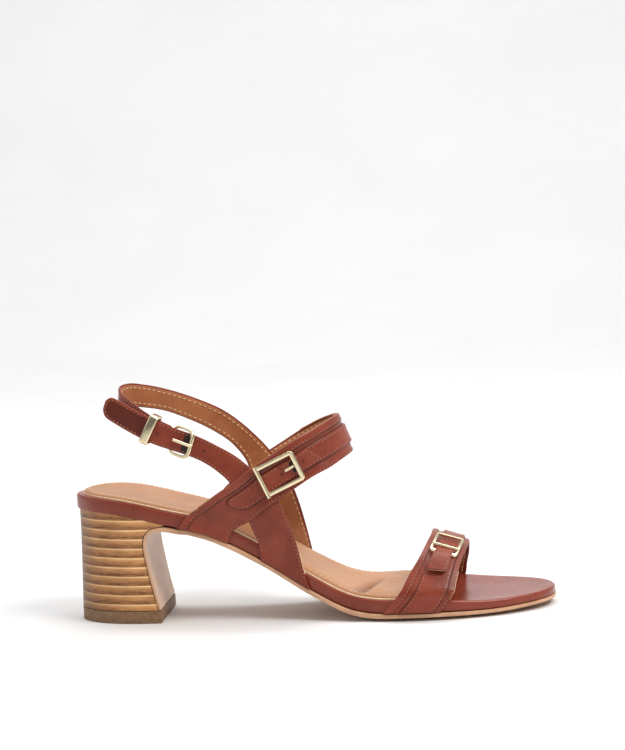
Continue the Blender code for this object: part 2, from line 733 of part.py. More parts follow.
def make_buckles(outer, instep, toe):
    """Ankle buckle with its pin and keeper, instep buckle with its stub, and toe slider."""
    here, along, wide, normal = outer.frame(outer.distance(ANKLE_AT))
    swing = math.radians(ANKLE_TILT)
    run = along * math.cos(swing) - normal * math.sin(swing)
    out = normal * math.cos(swing) + along * math.sin(swing)
    spot = here - normal * (WALL / 2)
    made = [hoop("ankle_buckle", spot, (run, wide, out), ANKLE_BUCKLE, ANKLE_BAR, ANKLE_BAR, 0.26)]
    reach = ANKLE_BUCKLE[0] / 2
    high = reach * math.sin(swing) - WALL / 2 + BAR / 2 + CLEAR + PIN
    ends = ((reach * 0.55, 0.0, PIN / 2 + CLEAR + 0.0001), (-reach * 1.05, 0.0, high))
    made.append(rod("ankle_pin", (here, along, wide, normal), ends, PIN / 2))
    here, along, wide, normal = outer.frame(outer.distance(KEEPER_AT))
    spot = here - normal * KEEPER_SINK
    made.append(hoop("ankle_keeper", spot, (normal, wide, along), KEEPER_HOLE, KEEPER_WALL, KEEPER, 0.09))
    here, along, wide, normal = instep.frame(instep.distance(INSTEP_AT), -0.05)
    spot = here + normal * (OVERLAY + CLEAR + BAR / 2)
    made.append(hoop("instep_buckle", spot, (along, wide, normal), INSTEP_BUCKLE, BAR, BAR, 0.10))
    bar_at = INSTEP_BUCKLE[0] / 2 - BAR - CLEAR
    high = OVERLAY + CLEAR + PIN / 2
    ends = ((bar_at, 0.0, high), (bar_at - STUB, 0.0, high))
    made.append(rod("instep_pin", (here, along, wide, normal), ends, PIN / 2))
    here, along, wide, normal = toe.frame(toe.distance(TOE_AT), 0.05)
    spot = here + normal * (OVERLAY - FUSE + TAB_WALL + 0.0008 + CLEAR + BAR / 2)
    made.append(hoop("toe_buckle", spot, (along, wide, normal), TOE_BUCKLE, BAR, BAR, 0.12))
    return made


def finish(made, surface):
    """Gives the object its material and its own place."""
    made.data.materials.clear()
    made.data.materials.append(surface)
    low = np.array([v.co for v in made.data.vertices]).min(axis=0)
    high = np.array([v.co for v in made.data.vertices]).max(axis=0)
    centre = (low + high) / 2
    for vert in made.data.vertices:
        vert.co = [a - b for a, b in zip(vert.co, centre)]
    made.location = centre
    return made


def build():
    """Makes the sandal."""
    for old in list(bpy.data.objects):
        bpy.data.objects.remove(old, do_unlink=True)
    finish(make_platform(), material("brown_wrap", (0.20, 0.055, 0.038), 0.42))
    finish(make_pad(), material("tan_lining", (0.48, 0.28, 0.17), 0.62))
    finish(make_outsole(), material("outsole_leather", (0.50, 0.32, 0.21), 0.58))
    finish(make_heel(), material("stacked_wood", (0.42, 0.22, 0.12), 0.50))
    finish(make_lift(), material("lift_rubber", (0.22, 0.10, 0.055), 0.70))
    rear, front, outer, instep, toe = make_straps()
    finish(rear, material("rear_leather", (0.24, 0.075, 0.052), 0.40))
    finish(front, material("toe_leather", (0.24, 0.075, 0.052), 0.40))
    for made in make_buckles(outer, instep, toe):
        finish(made, material(made.name + "_metal", (0.83, 0.72, 0.50), 0.22, 1.0))


build()
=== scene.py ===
"""Look of the block heel sandal: every CAD node is replaced by a detailed piece in the same frame."""
import json
import math

import bmesh
import bpy
import numpy as np
from mathutils import Matrix, Vector

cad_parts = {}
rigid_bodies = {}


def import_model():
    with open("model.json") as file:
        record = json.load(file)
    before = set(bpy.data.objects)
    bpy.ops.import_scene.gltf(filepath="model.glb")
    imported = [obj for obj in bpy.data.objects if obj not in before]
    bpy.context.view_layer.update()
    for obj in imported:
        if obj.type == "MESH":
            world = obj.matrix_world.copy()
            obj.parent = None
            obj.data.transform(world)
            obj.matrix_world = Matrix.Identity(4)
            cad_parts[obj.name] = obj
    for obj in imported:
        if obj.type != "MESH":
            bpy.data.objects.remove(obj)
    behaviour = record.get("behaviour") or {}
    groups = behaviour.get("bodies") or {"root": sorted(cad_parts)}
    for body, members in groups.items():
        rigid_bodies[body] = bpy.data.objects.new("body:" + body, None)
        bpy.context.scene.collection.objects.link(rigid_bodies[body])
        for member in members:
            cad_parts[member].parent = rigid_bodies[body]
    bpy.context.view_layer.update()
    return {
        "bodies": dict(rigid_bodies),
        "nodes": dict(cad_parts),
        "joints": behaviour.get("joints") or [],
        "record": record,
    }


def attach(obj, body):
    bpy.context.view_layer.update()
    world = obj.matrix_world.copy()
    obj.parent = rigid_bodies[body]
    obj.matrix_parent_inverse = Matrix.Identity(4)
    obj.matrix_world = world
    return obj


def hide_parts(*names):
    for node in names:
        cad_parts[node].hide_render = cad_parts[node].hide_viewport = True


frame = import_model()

# Row of the outsole's bend under the seat, from which its flap grows thicker
BEND = 6

# Sole sizes, in metres
LENGTH = 0.238
BALL_WIDTH = 0.079
SEAT_HEIGHT = 0.0540
TOE_SPRING = 0.0032
CROWN = 0.0015
OUTSOLE = 0.0024
LEDGE = 0.0016
PLATFORM = 0.0074
PLATFORM_ROUND = 0.0011
PAD = 0.0015
PAD_INSET = 0.0014
CUSHION_RISE = 0.0016

# Heel sizes, in metres
LIFT = 0.0062
LIFT_PROUD = 0.0003
FLAP = 0.0014

# Strap sizes, in metres
CLEAR = 0.0003
WALL = 0.0017
OVERLAY = 0.0013
HIGH_RISE = 0.076
TOE_RISE = 0.028

# Buckle sizes, in metres: length along the strap, width across it and thickness of the bar
BAR = 0.0017
ANKLE_BUCKLE = (0.0134, 0.0152)
INSTEP_BUCKLE = (0.0200, 0.0154)
TOE_BUCKLE = (0.0136, 0.0140)
ANKLE_TILT = 22.5
ANKLE_BAR = 0.0015
KEEPER = 0.0044
KEEPER_HOLE = (0.0101, 0.0150)
KEEPER_SINK = 0.0035
KEEPER_WALL = 0.0010
PIN = 0.0013
STUB = 0.0050
TAB = 0.0215

# Shares of LENGTH: origin under the heel, front of the heel's seat and front of the pad
ORIGIN = 0.0885
SEAT_FRONT = 0.200
PAD_FRONT = 0.765

# Number of stations along the solids and of cells across them
SOLE_ROWS = 110
SOLE_CELLS = 24
STRAP_CELLS = 10

# Plan outline of the footbed: shares of BALL_WIDTH to the outer and to the inner side
OUTLINE = (
    # along, lateral, medial
    (0.000, 0.000, 0.000),
    (0.020, 0.165, 0.171),
    (0.060, 0.282, 0.295),
    (0.120, 0.346, 0.365),
    (0.200, 0.361, 0.365),
    (0.300, 0.346, 0.316),
    (0.420, 0.346, 0.289),
    (0.520, 0.395, 0.342),
    (0.600, 0.449, 0.418),
    (0.670, 0.484, 0.487),
    (0.730, 0.489, 0.511),
    (0.790, 0.472, 0.510),
    (0.850, 0.428, 0.481),
    (0.905, 0.358, 0.420),
    (0.950, 0.266, 0.329),
    (0.980, 0.171, 0.230),
    (1.000, -0.035, 0.035),
)

# Side profile: shares of SEAT_HEIGHT, TOE_SPRING, PLATFORM, OUTSOLE and CROWN
PROFILE = (
    # along, seat, spring, platform, outsole, crown
    (0.00, 1.0000, 0.00, 1.00, 1.00, 0.00),
    (0.10, 0.9685, 0.00, 1.00, 1.00, 0.00),
    (0.20, 0.8667, 0.00, 1.00, 1.00, 0.00),
    (0.30, 0.7407, 0.00, 1.00, 1.00, 0.00),
    (0.40, 0.5087, 0.00, 0.99, 1.00, 0.00),
    (0.50, 0.2278, 0.00, 0.96, 1.00, 0.20),
    (0.58, 0.0463, 0.00, 0.93, 1.00, 0.60),
    (0.66, 0.0000, 0.00, 0.89, 0.92, 0.95),
    (0.75, 0.0000, 0.05, 0.78, 0.83, 1.00),
    (0.87, 0.0000, 0.20, 0.58, 0.75, 0.70),
    (1.00, 0.0000, 1.00, 0.50, 0.70, 0.00),
)

# Cushion of the pad above its edge, as shares of CUSHION_RISE
CUSHION = (
    # along, middle, medial
    (0.00, 0.30, 0.60),
    (0.10, -0.30, 0.70),
    (0.25, -0.10, 0.90),
    (0.42, 0.50, 1.40),
    (0.54, 0.80, 1.20),
    (0.61, 0.40, 0.50),
    (0.69, 1.20, 1.20),
    (0.78, 0.60, 0.60),
)

# Heel block by level, a share of SEAT_HEIGHT: front and back as shares of LENGTH, breadth of the seat
HEEL = (
    # level, front, back, breadth
    (0.120, 0.1750, 0.0005, 0.850),
    (0.220, 0.1692, 0.0010, 0.858),
    (0.350, 0.1630, 0.0018, 0.872),
    (0.480, 0.1575, 0.0028, 0.890),
    (0.600, 0.1525, 0.0036, 0.910),
    (0.700, 0.1500, 0.0042, 0.930),
    (0.780, 0.1515, 0.0046, 0.948),
    (0.830, 0.1560, 0.0050, 0.958),
    (0.872, 0.1645, 0.0050, 0.965),
    (0.893, 0.1765, 0.0050, 0.970),
    (0.902, 0.1900, 0.0050, 0.975),
)

# Strap stations from the outer foot to the inner one. Both edges have a place along the sole, a
# spread, which is a share of the footbed's half width there, and a rise over the footbed's edge,
# which is a share of the strap's rise. A rise of -1 is the platform's underside.
INSTEP = (
    # rear: along, spread, rise; front: along, spread, rise
    (0.227, -1.00, -1.000, 0.330, -1.00, -1.000),
    (0.250, -1.00, 0.000, 0.342, -1.00, 0.000),
    (0.279, -1.07, 0.084, 0.383, -1.12, 0.143),
    (0.311, -1.12, 0.192, 0.407, -1.14, 0.246),
    (0.345, -1.16, 0.310, 0.439, -1.12, 0.378),
    (0.384, -1.16, 0.470, 0.479, -1.04, 0.540),
    (0.426, -1.13, 0.632, 0.513, -0.92, 0.664),
    (0.471, -1.00, 0.810, 0.547, -0.74, 0.770),
    (0.517, -0.76, 0.968, 0.570, -0.49, 0.838),
    (0.546, -0.42, 1.059, 0.584, -0.24, 0.873),
    (0.561, 0.00, 1.099, 0.590, 0.00, 0.885),
    (0.546, 0.47, 1.059, 0.584, 0.26, 0.873),
    (0.517, 0.84, 0.968, 0.570, 0.52, 0.838),
    (0.471, 1.11, 0.810, 0.547, 0.79, 0.770),
    (0.426, 1.25, 0.632, 0.513, 0.98, 0.664),
    (0.384, 1.26, 0.470, 0.479, 1.14, 0.540),
    (0.353, 1.22, 0.338, 0.444, 1.23, 0.395),
    (0.326, 1.15, 0.230, 0.416, 1.25, 0.268),
    (0.300, 1.08, 0.126, 0.394, 1.20, 0.159),
    (0.277, 1.00, 0.000, 0.359, 1.00, 0.000),
    (0.258, 1.00, -1.000, 0.349, 1.00, -1.000),
)

# Outer leg, and its sling with the loose tail; the first edge is the lower one
OUTER_SLING = (
    # lower: along, spread, rise; upper: along, spread, rise
    (0.397, -1.00, -1.000, 0.496, -1.00, -1.000),
    (0.394, -1.00, 0.000, 0.486, -1.00, 0.000),
    (0.386, -1.07, 0.067, 0.472, -1.01, 0.166),
    (0.377, -1.09, 0.125, 0.457, -1.05, 0.286),
    (0.366, -1.11, 0.188, 0.439, -1.07, 0.381),
    (0.354, -1.11, 0.256, 0.416, -1.10, 0.451),
    (0.340, -1.09, 0.322, 0.385, -1.10, 0.492),
    (0.316, -1.05, 0.357, 0.352, -1.06, 0.517),
    (0.291, -1.00, 0.378, 0.319, -1.01, 0.523),
    (0.258, -0.94, 0.393, 0.279, -0.95, 0.536),
    (0.218, -0.88, 0.405, 0.237, -0.89, 0.550),
    (0.180, -0.84, 0.419, 0.199, -0.84, 0.569),
    (0.130, -0.82, 0.465, 0.147, -0.81, 0.617),
    (0.077, -0.90, 0.547, 0.093, -0.85, 0.684),
)

# Sling from the ankle buckle round the heel to the inner leg; the first edge is the lower one
INNER_SLING = (
    # lower: along, spread, rise; upper: along, spread, rise
    (0.212, -0.72, 0.404, 0.230, -0.72, 0.549),
    (0.183, -0.69, 0.420, 0.200, -0.69, 0.571),
    (0.151, -0.62, 0.451, 0.166, -0.62, 0.604),
    (0.121, -0.46, 0.493, 0.132, -0.45, 0.648),
    (0.102, -0.25, 0.530, 0.109, -0.24, 0.681),
    (0.096, 0.00, 0.561, 0.102, 0.00, 0.712),
    (0.106, 0.27, 0.575, 0.116, 0.26, 0.730),
    (0.132, 0.47, 0.571, 0.143, 0.48, 0.729),
    (0.186, 0.71, 0.569, 0.202, 0.72, 0.718),
    (0.237, 0.88, 0.535, 0.256, 0.91, 0.689),
    (0.285, 1.02, 0.493, 0.319, 1.07, 0.652),
    (0.324, 1.10, 0.448, 0.365, 1.16, 0.601),
    (0.350, 1.15, 0.376, 0.397, 1.20, 0.548),
    (0.361, 1.17, 0.266, 0.424, 1.20, 0.475),
    (0.370, 1.18, 0.188, 0.445, 1.18, 0.393),
    (0.380, 1.17, 0.127, 0.460, 1.15, 0.288),
    (0.387, 1.14, 0.065, 0.472, 1.12, 0.159),
    (0.394, 1.00, 0.000, 0.485, 1.00, 0.000),
    (0.397, 1.00, -1.000, 0.494, 1.00, -1.000),
)

TOE = (
    # rear: along, spread, rise; front: along, spread, rise
    (0.645, -1.00, -1.000, 0.762, -1.00, -1.000),
    (0.669, -1.00, 0.000, 0.781, -1.00, 0.000),
    (0.684, -0.99, 0.158, 0.791, -1.00, 0.153),
    (0.701, -0.86, 0.406, 0.797, -0.90, 0.339),
    (0.721, -0.70, 0.659, 0.806, -0.74, 0.583),
    (0.736, -0.47, 0.863, 0.815, -0.50, 0.753),
    (0.745, -0.23, 0.972, 0.822, -0.25, 0.821),
    (0.748, 0.00, 1.009, 0.825, 0.00, 0.844),
    (0.749, 0.23, 0.974, 0.824, 0.25, 0.808),
    (0.743, 0.47, 0.829, 0.824, 0.50, 0.676),
    (0.729, 0.71, 0.575, 0.821, 0.72, 0.460),
    (0.710, 0.94, 0.250, 0.815, 0.92, 0.203),
    (0.697, 1.00, 0.000, 0.811, 1.00, 0.000),
    (0.676, 1.00, -1.000, 0.800, 1.00, -1.000),
)

# Raised panels: start and end along the strap in stations, then both edges across it from -1 to 1
INSTEP_PANEL = (2.6, 17.4, -0.44, 0.50)
TOE_PANEL = (0.0, 13.0, -0.42, 0.72)

# Places along the straps, in stations
ANKLE_AT = 9.62
KEEPER_AT = 11.25
INSTEP_AT = 5.40
TOE_AT = 5.25


def spline(knots, values, at, calm=False):
    """Smooth curve through the knots; a calm one stays level where its values do."""
    t = np.asarray(knots, float)
    v = np.asarray(values, float)
    a = np.clip(np.asarray(at, float), t[0], t[-1])
    h = np.diff(t)
    d = np.diff(v) / h
    m = np.empty_like(v)
    m[1:-1] = (d[:-1] * h[1:] + d[1:] * h[:-1]) / (h[:-1] + h[1:])
    m[0] = d[0]
    m[-1] = d[-1]
    if calm:
        m[1:-1] = np.where(d[:-1] * d[1:] <= 0, 0.0, m[1:-1])
    i = np.clip(np.searchsorted(t, a, side="right") - 1, 0, len(h) - 1)
    s = (a - t[i]) / h[i]
    rise = (2 * s**3 - 3 * s**2 + 1) * v[i] + (3 * s**2 - 2 * s**3) * v[i + 1]
    return rise + ((s**3 - 2 * s**2 + s) * m[i] + (s**3 - s**2) * m[i + 1]) * h[i]


def turn(along):
    """Even spacing round the ends of the outline: 0 at the heel and 1 at the toe."""
    return np.arccos(1 - 2 * np.clip(along, 0, 1)) / math.pi


def column(table, name):
    """One column of a table."""
    return [row[name] for row in table]


def lateral(along):
    """Footbed's half width on the outer side."""
    return BALL_WIDTH * spline(turn(column(OUTLINE, 0)), column(OUTLINE, 1), turn(along))


def medial(along):
    """Footbed's half width on the inner side."""
    return BALL_WIDTH * spline(turn(column(OUTLINE, 0)), column(OUTLINE, 2), turn(along))


def profile(name, along):
    """One column of the side profile."""
    return spline(column(PROFILE, 0), column(PROFILE, name), along, calm=True)


def across(along, y):
    """Place across the footbed, from -1 at the outer edge to 1 at the inner edge."""
    half = np.maximum((medial(along) + lateral(along)) / 2, 0.02 * BALL_WIDTH)
    return np.clip((y - (medial(along) - lateral(along)) / 2) / half, -1, 1)


def ground(along, y):
    """Underside of the outsole: flat in the middle of the forefoot and lifted at its edges."""
    v = np.abs(across(along, y))
    lift = np.clip((v - 0.4) / 0.6, 0, 1) ** 1.5
    sides = CROWN * profile(5, along) * lift
    return SEAT_HEIGHT * profile(1, along) + TOE_SPRING * profile(2, along) + sides


def under(along, y):
    """Underside of the platform."""
    return ground(along, y) + OUTSOLE * profile(4, along) + CLEAR


def deck(along, y):
    """Top of the platform."""
    return under(along, y) + PLATFORM * profile(3, along)


def rim(along):
    """Height of the platform's top edge."""
    return deck(along, -lateral(along))


def place(along):
    """World X of a share of LENGTH."""
    return (along - ORIGIN) * LENGTH


def rows_of(along, inset, end=0.0):
    """Plan rows across the outline, moved inwards by the inset; end is the front row's inset."""
    a = np.asarray(along, float)
    outer = np.stack([a * LENGTH, -lateral(a)], 1)
    inner = np.stack([a * LENGTH, medial(a)], 1)
    rows = []
    for edge, side in ((outer, 1.0), (inner, -1.0)):
        slope = np.gradient(edge, axis=0)
        if a[0] == 0.0:
            slope[0] = (0.0, -side)
        if a[-1] == 1.0:
            slope[-1] = (0.0, side)
        slope /= np.linalg.norm(slope, axis=1)[:, None]
        rows.append(edge + inset * side * np.stack([-slope[:, 1], slope[:, 0]], 1))
    k = np.linspace(0, 1, SOLE_CELLS + 1)[None, :, None]
    grid = rows[0][:, None, :] * (1 - k) + rows[1][:, None, :] * k
    grid[-1, :, 0] -= end
    return grid


def lifted(grid, height):
    """Rows in space: the height is a function of the place along and of y."""
    along = grid[..., 0] / LENGTH
    z = height(along, grid[..., 1])
    return np.stack([place(along), grid[..., 1], z], -1)



def spaced(end, count):
    """Places along, close together at the heel and, for a whole sole, at the toe."""
    if end == 1.0:
        return (1 - np.cos(np.linspace(0, math.pi, count + 1))) / 2
    return end * (1 - np.cos(np.linspace(0, math.pi / 2, count + 1)))


def pad_top(a, y):
    """Top of the pad: flat at its edge and cushioned inside."""
    v = across(a, y)
    middle = spline(column(CUSHION, 0), column(CUSHION, 1), a)
    side = spline(column(CUSHION, 0), column(CUSHION, 2), a)
    share = np.clip((1 - np.abs(v)) / 0.35, 0, 1)
    rise = middle + (side - middle) * np.clip(v, 0, 1) ** 1.5
    return deck(a, y) + CLEAR + PAD + CUSHION_RISE * rise * (3 - 2 * share) * share**2


def heel_row(level):
    """Front, back and breadth of the heel block at a level, a share of SEAT_HEIGHT."""
    return [float(spline(column(HEEL, 0), column(HEEL, i), level)) for i in (1, 2, 3)]


def heel_plan(front, back, breadth, grow=0.0):
    """Rows across the heel block in plan."""
    share = 1 - np.cos(np.linspace(0, math.pi / 2, 13))
    along = back + share * (front - back)
    width = share * front
    k = np.linspace(0, 1, SOLE_CELLS + 1)
    outer = -(lateral(width) * breadth + grow * (share > 0))
    inner = medial(width) * breadth + grow * (share > 0)
    y = outer[:, None] * (1 - k) + inner[:, None] * k
    x = np.repeat((along * LENGTH)[:, None], len(k), 1)
    x[0] -= grow
    return np.stack([x, y], -1)


# Levels of the heel's breast that the flap follows, as shares of SEAT_HEIGHT
BREAST_LEVELS = (0.20, 0.28, 0.36, 0.44, 0.52, 0.60, 0.68, 0.74, 0.785, 0.82, 0.85, 0.872, 0.888, 0.898)


def sole_path():
    """Inner line of the outsole in side view: down the breast of the heel, then along the arch."""
    path = []
    for level in ((LIFT + CLEAR) / SEAT_HEIGHT, *BREAST_LEVELS):
        front = heel_row(level)[0]
        path.append((front, level * SEAT_HEIGHT))
    path.append((0.197, 0.9035 * SEAT_HEIGHT))
    path += [(a, float(under(a, 0.0)) - 2 * CLEAR) for a in (0.212, 0.228)]
    return path


def crease(shape):
    """Smooth shading with sharp corners."""
    for face in shape.faces:
        face.smooth = True
    for edge in shape.edges:
        edge.smooth = len(edge.link_faces) != 2 or edge.calc_face_angle() < math.radians(35)


def solid(name, verts, faces):
    """Closed object from points and faces, with its normals pointing out."""
    mesh = bpy.data.meshes.new(name)
    mesh.from_pydata([tuple(map(float, v)) for v in verts], [], faces)
    shape = bmesh.new()
    shape.from_mesh(mesh)
    bmesh.ops.remove_doubles(shape, verts=shape.verts, dist=1e-6)
    bmesh.ops.dissolve_degenerate(shape, edges=shape.edges, dist=1e-7)
    bmesh.ops.recalc_face_normals(shape, faces=shape.faces)
    if shape.calc_volume(signed=True) < 0:
        bmesh.ops.reverse_faces(shape, faces=shape.faces)
    crease(shape)
    shape.to_mesh(mesh)
    shape.free()
    made = bpy.data.objects.new(name, mesh)
    bpy.context.scene.collection.objects.link(made)
    return made


def loft(name, layers):
    """Closed body from layers of rows, capped over its first and its last layer."""
    n, k = layers[0].shape[:2]
    size = n * k
    verts = np.concatenate([layer.reshape(-1, 3) for layer in layers])
    edge = [(0, j) for j in range(k - 1, -1, -1)]
    edge += [(i, 0) for i in range(1, n)]
    edge += [(n - 1, j) for j in range(1, k)]
    edge += [(i, k - 1) for i in range(n - 2, 0, -1)]
    faces = []
    for i in range(n - 1):
        for j in range(k - 1):
            cell = [i * k + j, (i + 1) * k + j, (i + 1) * k + j + 1, i * k + j + 1]
            faces.append(cell)
            last = (len(layers) - 1) * size
            faces.append([last + c for c in reversed(cell)])
    loop = [i * k + j for i, j in edge]
    for level in range(len(layers) - 1):
        for a, b in zip(loop, loop[1:] + loop[:1]):
            low = level * size
            faces.append([low + a, low + b, low + size + b, low + size + a])
    used = sorted({v for face in faces for v in face})
    index = {v: i for i, v in enumerate(used)}
    return solid(name, verts[used], [[index[v] for v in face] for face in faces])


class Strap:
    """Smooth strap surface through stations; the surface is the strap's outer face."""

    def __init__(self, table, rise):
        self.rear = np.array([self.edge(row[:3], rise) for row in table])
        self.front = np.array([self.edge(row[3:], rise) for row in table])
        middle = self.world((self.rear + self.front) / 2)
        steps = np.linalg.norm(np.diff(middle, axis=0), axis=1)
        self.travel = np.concatenate([[0.0], np.cumsum(steps)])
        self.count = len(table)

    def edge(self, shares, rise):
        """Place along, spread and height over the footbed's edge, in metres."""
        along, spread, up = shares
        if up < 0:
            return along, spread, up * PLATFORM * float(profile(3, along))
        return along, spread, up * rise

    def world(self, shares):
        """World places of points given along, in spread and over the footbed's edge."""
        along, spread, up = shares[..., 0], shares[..., 1], shares[..., 2]
        half = np.where(spread < 0, lateral(along), medial(along))
        width = np.abs(spread) * half + np.minimum(np.abs(spread), 1) * (CLEAR + WALL)
        return np.stack([place(along), np.sign(spread) * width, rim(along) + up], -1)

    def distance(self, station):
        """Distance along the strap of a station, which may be a fraction."""
        return float(np.interp(station, range(self.count), self.travel))

    def skin(self, at, c):
        """Points at distances along and shares across."""
        at = np.asarray(at, float)
        edges = []
        for side in (self.rear, self.front):
            edges.append(np.stack([spline(self.travel, side[:, i], at) for i in range(3)], -1))
        share = (np.asarray(c, float)[..., None] + 1) / 2
        return self.world(edges[0] * (1 - share) + edges[1] * share)

    def frame(self, at, c=0.0):
        """Place, direction along, direction across and outward normal."""
        step = 0.0004
        here = self.skin([at], [c])[0]
        ahead = self.skin([at + step], [c])[0] - self.skin([at - step], [c])[0]
        wide = self.skin([at], [min(c + 0.1, 1)])[0] - self.skin([at], [max(c - 0.1, -1)])[0]
        normal = np.cross(wide, ahead)
        normal /= np.linalg.norm(normal)
        ahead /= np.linalg.norm(ahead)
        return here, ahead, np.cross(ahead, normal), normal

    def strip(self, name, start, stop, edges, heights, radius, tips=(0.0, 0.0), blunt=0.37, step=0.0014):
        """Closed strip with rounded edges: heights of its top and bottom over the strap's face."""
        length = stop - start
        at = list(np.linspace(start, stop, max(int(length / step), 4)))
        for tip, sign, end in ((tips[0], 1, start), (tips[1], -1, stop)):
            if tip:
                near = [end + sign * tip * k for k in (0.03, 0.1, 0.22, 0.4, 0.62, 0.85, 1.1)]
                at = [a for a in at if a == end or abs(a - end) > 1.2 * tip] + near
        at = np.array(sorted(at))
        width = np.ones_like(at)
        for tip, end in ((tips[0], start), (tips[1], stop)):
            if tip:
                reach = np.clip(np.abs(at - end) / tip, 0, 1)
                width *= np.sqrt(1 - (1 - blunt**2) * (1 - reach) ** 2.2)
        low = np.interp(at, np.linspace(start, stop, len(np.atleast_1d(edges[0]))), np.atleast_1d(edges[0]))
        high = np.interp(at, np.linspace(start, stop, len(np.atleast_1d(edges[1]))), np.atleast_1d(edges[1]))
        middle = (low + high) / 2
        half = (high - low) / 2 * width
        breadth = np.linalg.norm(self.skin(at, np.ones_like(at)) - self.skin(at, -np.ones_like(at)), axis=1) / 2
        k = np.linspace(-1, 1, STRAP_CELLS + 1)
        top, bottom = [np.interp(at, np.linspace(start, stop, len(np.atleast_1d(h))), np.atleast_1d(h))
                       for h in heights]
        rings = []
        for turned in (0, 30, 60, 90):
            angle = math.radians(turned)
            rings.append((radius * (1 - math.sin(angle)), top - radius * (1 - math.cos(angle))))
        for turned in (0, 45, 90):
            angle = math.radians(turned)
            rings.append((radius * (1 - math.cos(angle)), bottom + radius * (1 - math.sin(angle))))
        layers = []
        for inset, height in rings:
            share = inset / breadth
            c = middle[:, None] + np.maximum(half - share, 0.02)[:, None] * k[None, :]
            spots = at + inset * (np.clip(1 - (at - start) / 0.003, 0, 1) - np.clip(1 - (stop - at) / 0.003, 0, 1))
            grid = self.skin(np.repeat(spots[:, None], len(k), 1), c)
            along = np.gradient(grid, spots, axis=0)
            wide = np.gradient(grid, axis=1)
            normal = np.cross(wide, along)
            normal /= np.linalg.norm(normal, axis=2)[..., None]
            layers.append(grid + normal * height[:, None, None])
        return loft(name, layers)

    def trace(self, at, c, height):
        """Points and normals along a line on the strap, at a height over its face."""
        at = np.asarray(at, float)
        c = np.asarray(c, float) + np.zeros_like(at)
        here = self.skin(at, c)
        ahead = self.skin(at + 0.0003, c) - self.skin(at - 0.0003, c)
        wide = self.skin(at, c + 0.05) - self.skin(at, c - 0.05)
        normal = np.cross(wide, ahead)
        normal /= np.linalg.norm(normal, axis=1)[:, None]
        return here + normal * height, normal

    def seam(self, start, stop, c, inset, height):
        """Line of a seam: a share across, moved inwards from it by the inset."""
        at = np.arange(start, stop, 0.0005)
        breadth = np.linalg.norm(self.skin(at, np.ones_like(at)) - self.skin(at, -np.ones_like(at)), axis=1) / 2
        return self.trace(at, c - np.sign(inset) * abs(inset) / breadth, height)


def ringed(base, rings, sides):
    """Side faces and caps of rings of points, counted from the base."""
    faces = []
    for ring in range(rings - 1):
        for k in range(sides):
            a, b = base + ring * sides + k, base + ring * sides + (k + 1) % sides
            faces.append([a, b, b + sides, a + sides])
    faces.append([base + (rings - 1) * sides + k for k in range(sides)])
    faces.append([base + sides - 1 - k for k in range(sides)])
    return faces


def contour(strap, start, stop, edges, inset, height, tips=(0.0, 0.0), blunt=0.37, ends=(True, True)):
    """Line round a panel, moved inwards from its edge, with rounded tips: points and normals."""
    low, high = edges
    at = np.arange(start + inset, stop - inset, 0.0004)
    breadth = np.linalg.norm(strap.skin(at, np.ones_like(at)) - strap.skin(at, -np.ones_like(at)), axis=1) / 2
    width = np.ones_like(at)
    for tip, end in ((tips[0], start + inset), (tips[1], stop - inset)):
        if tip:
            reach = np.clip(np.abs(at - end) / tip, 0, 1)
            width *= np.sqrt(1 - (1 - blunt**2) * (1 - reach) ** 2.2)
    middle, half = (low + high) / 2, (high - low) / 2
    share = (half - inset / breadth) * width
    spots = list(zip(at, middle + share))
    if ends[1]:
        spots += [(at[-1], middle + share[-1] * s) for s in (0.5, 0.0, -0.5)]
    spots += list(zip(at, middle - share))[::-1]
    if ends[0]:
        spots += [(at[0], middle + share[0] * s) for s in (-0.5, 0.0, 0.5, 1.0)]
    spots = np.array(spots)
    return strap.trace(spots[:, 0], spots[:, 1], height)


def needle_holes(name, lines, pitch, radius=0.00016):
    """Needle holes between the stitches of the lines, dark with painted shade."""
    verts = []
    faces = []
    for points, normals in lines:
        run = np.concatenate([[0.0], np.cumsum(np.linalg.norm(np.diff(points, axis=0), axis=1))])
        for begin in np.arange(pitch * 0.5 - 0.0003, run[-1], pitch):
            here = np.array([np.interp(begin, run, points[:, i]) for i in range(3)])
            ahead = np.array([np.interp(begin + 0.0004, run, points[:, i]) for i in range(3)])
            normal = np.array([np.interp(begin, run, normals[:, i]) for i in range(3)])
            way = ahead - here
            size = np.linalg.norm(way)
            if size < 1e-6:
                continue
            way /= size
            side = np.cross(way, normal)
            base = len(verts)
            for height, share in ((-0.0002, 1.0), (0.0, 1.0), (0.00005, 0.5)):
                for k in range(8):
                    angle = math.pi * k / 4
                    offset = way * math.cos(angle) * 1.3 + side * math.sin(angle)
                    verts.append(here + offset * radius * share + normal * height)
            faces += ringed(base, 3, 8)
    return solid(name, verts, faces)


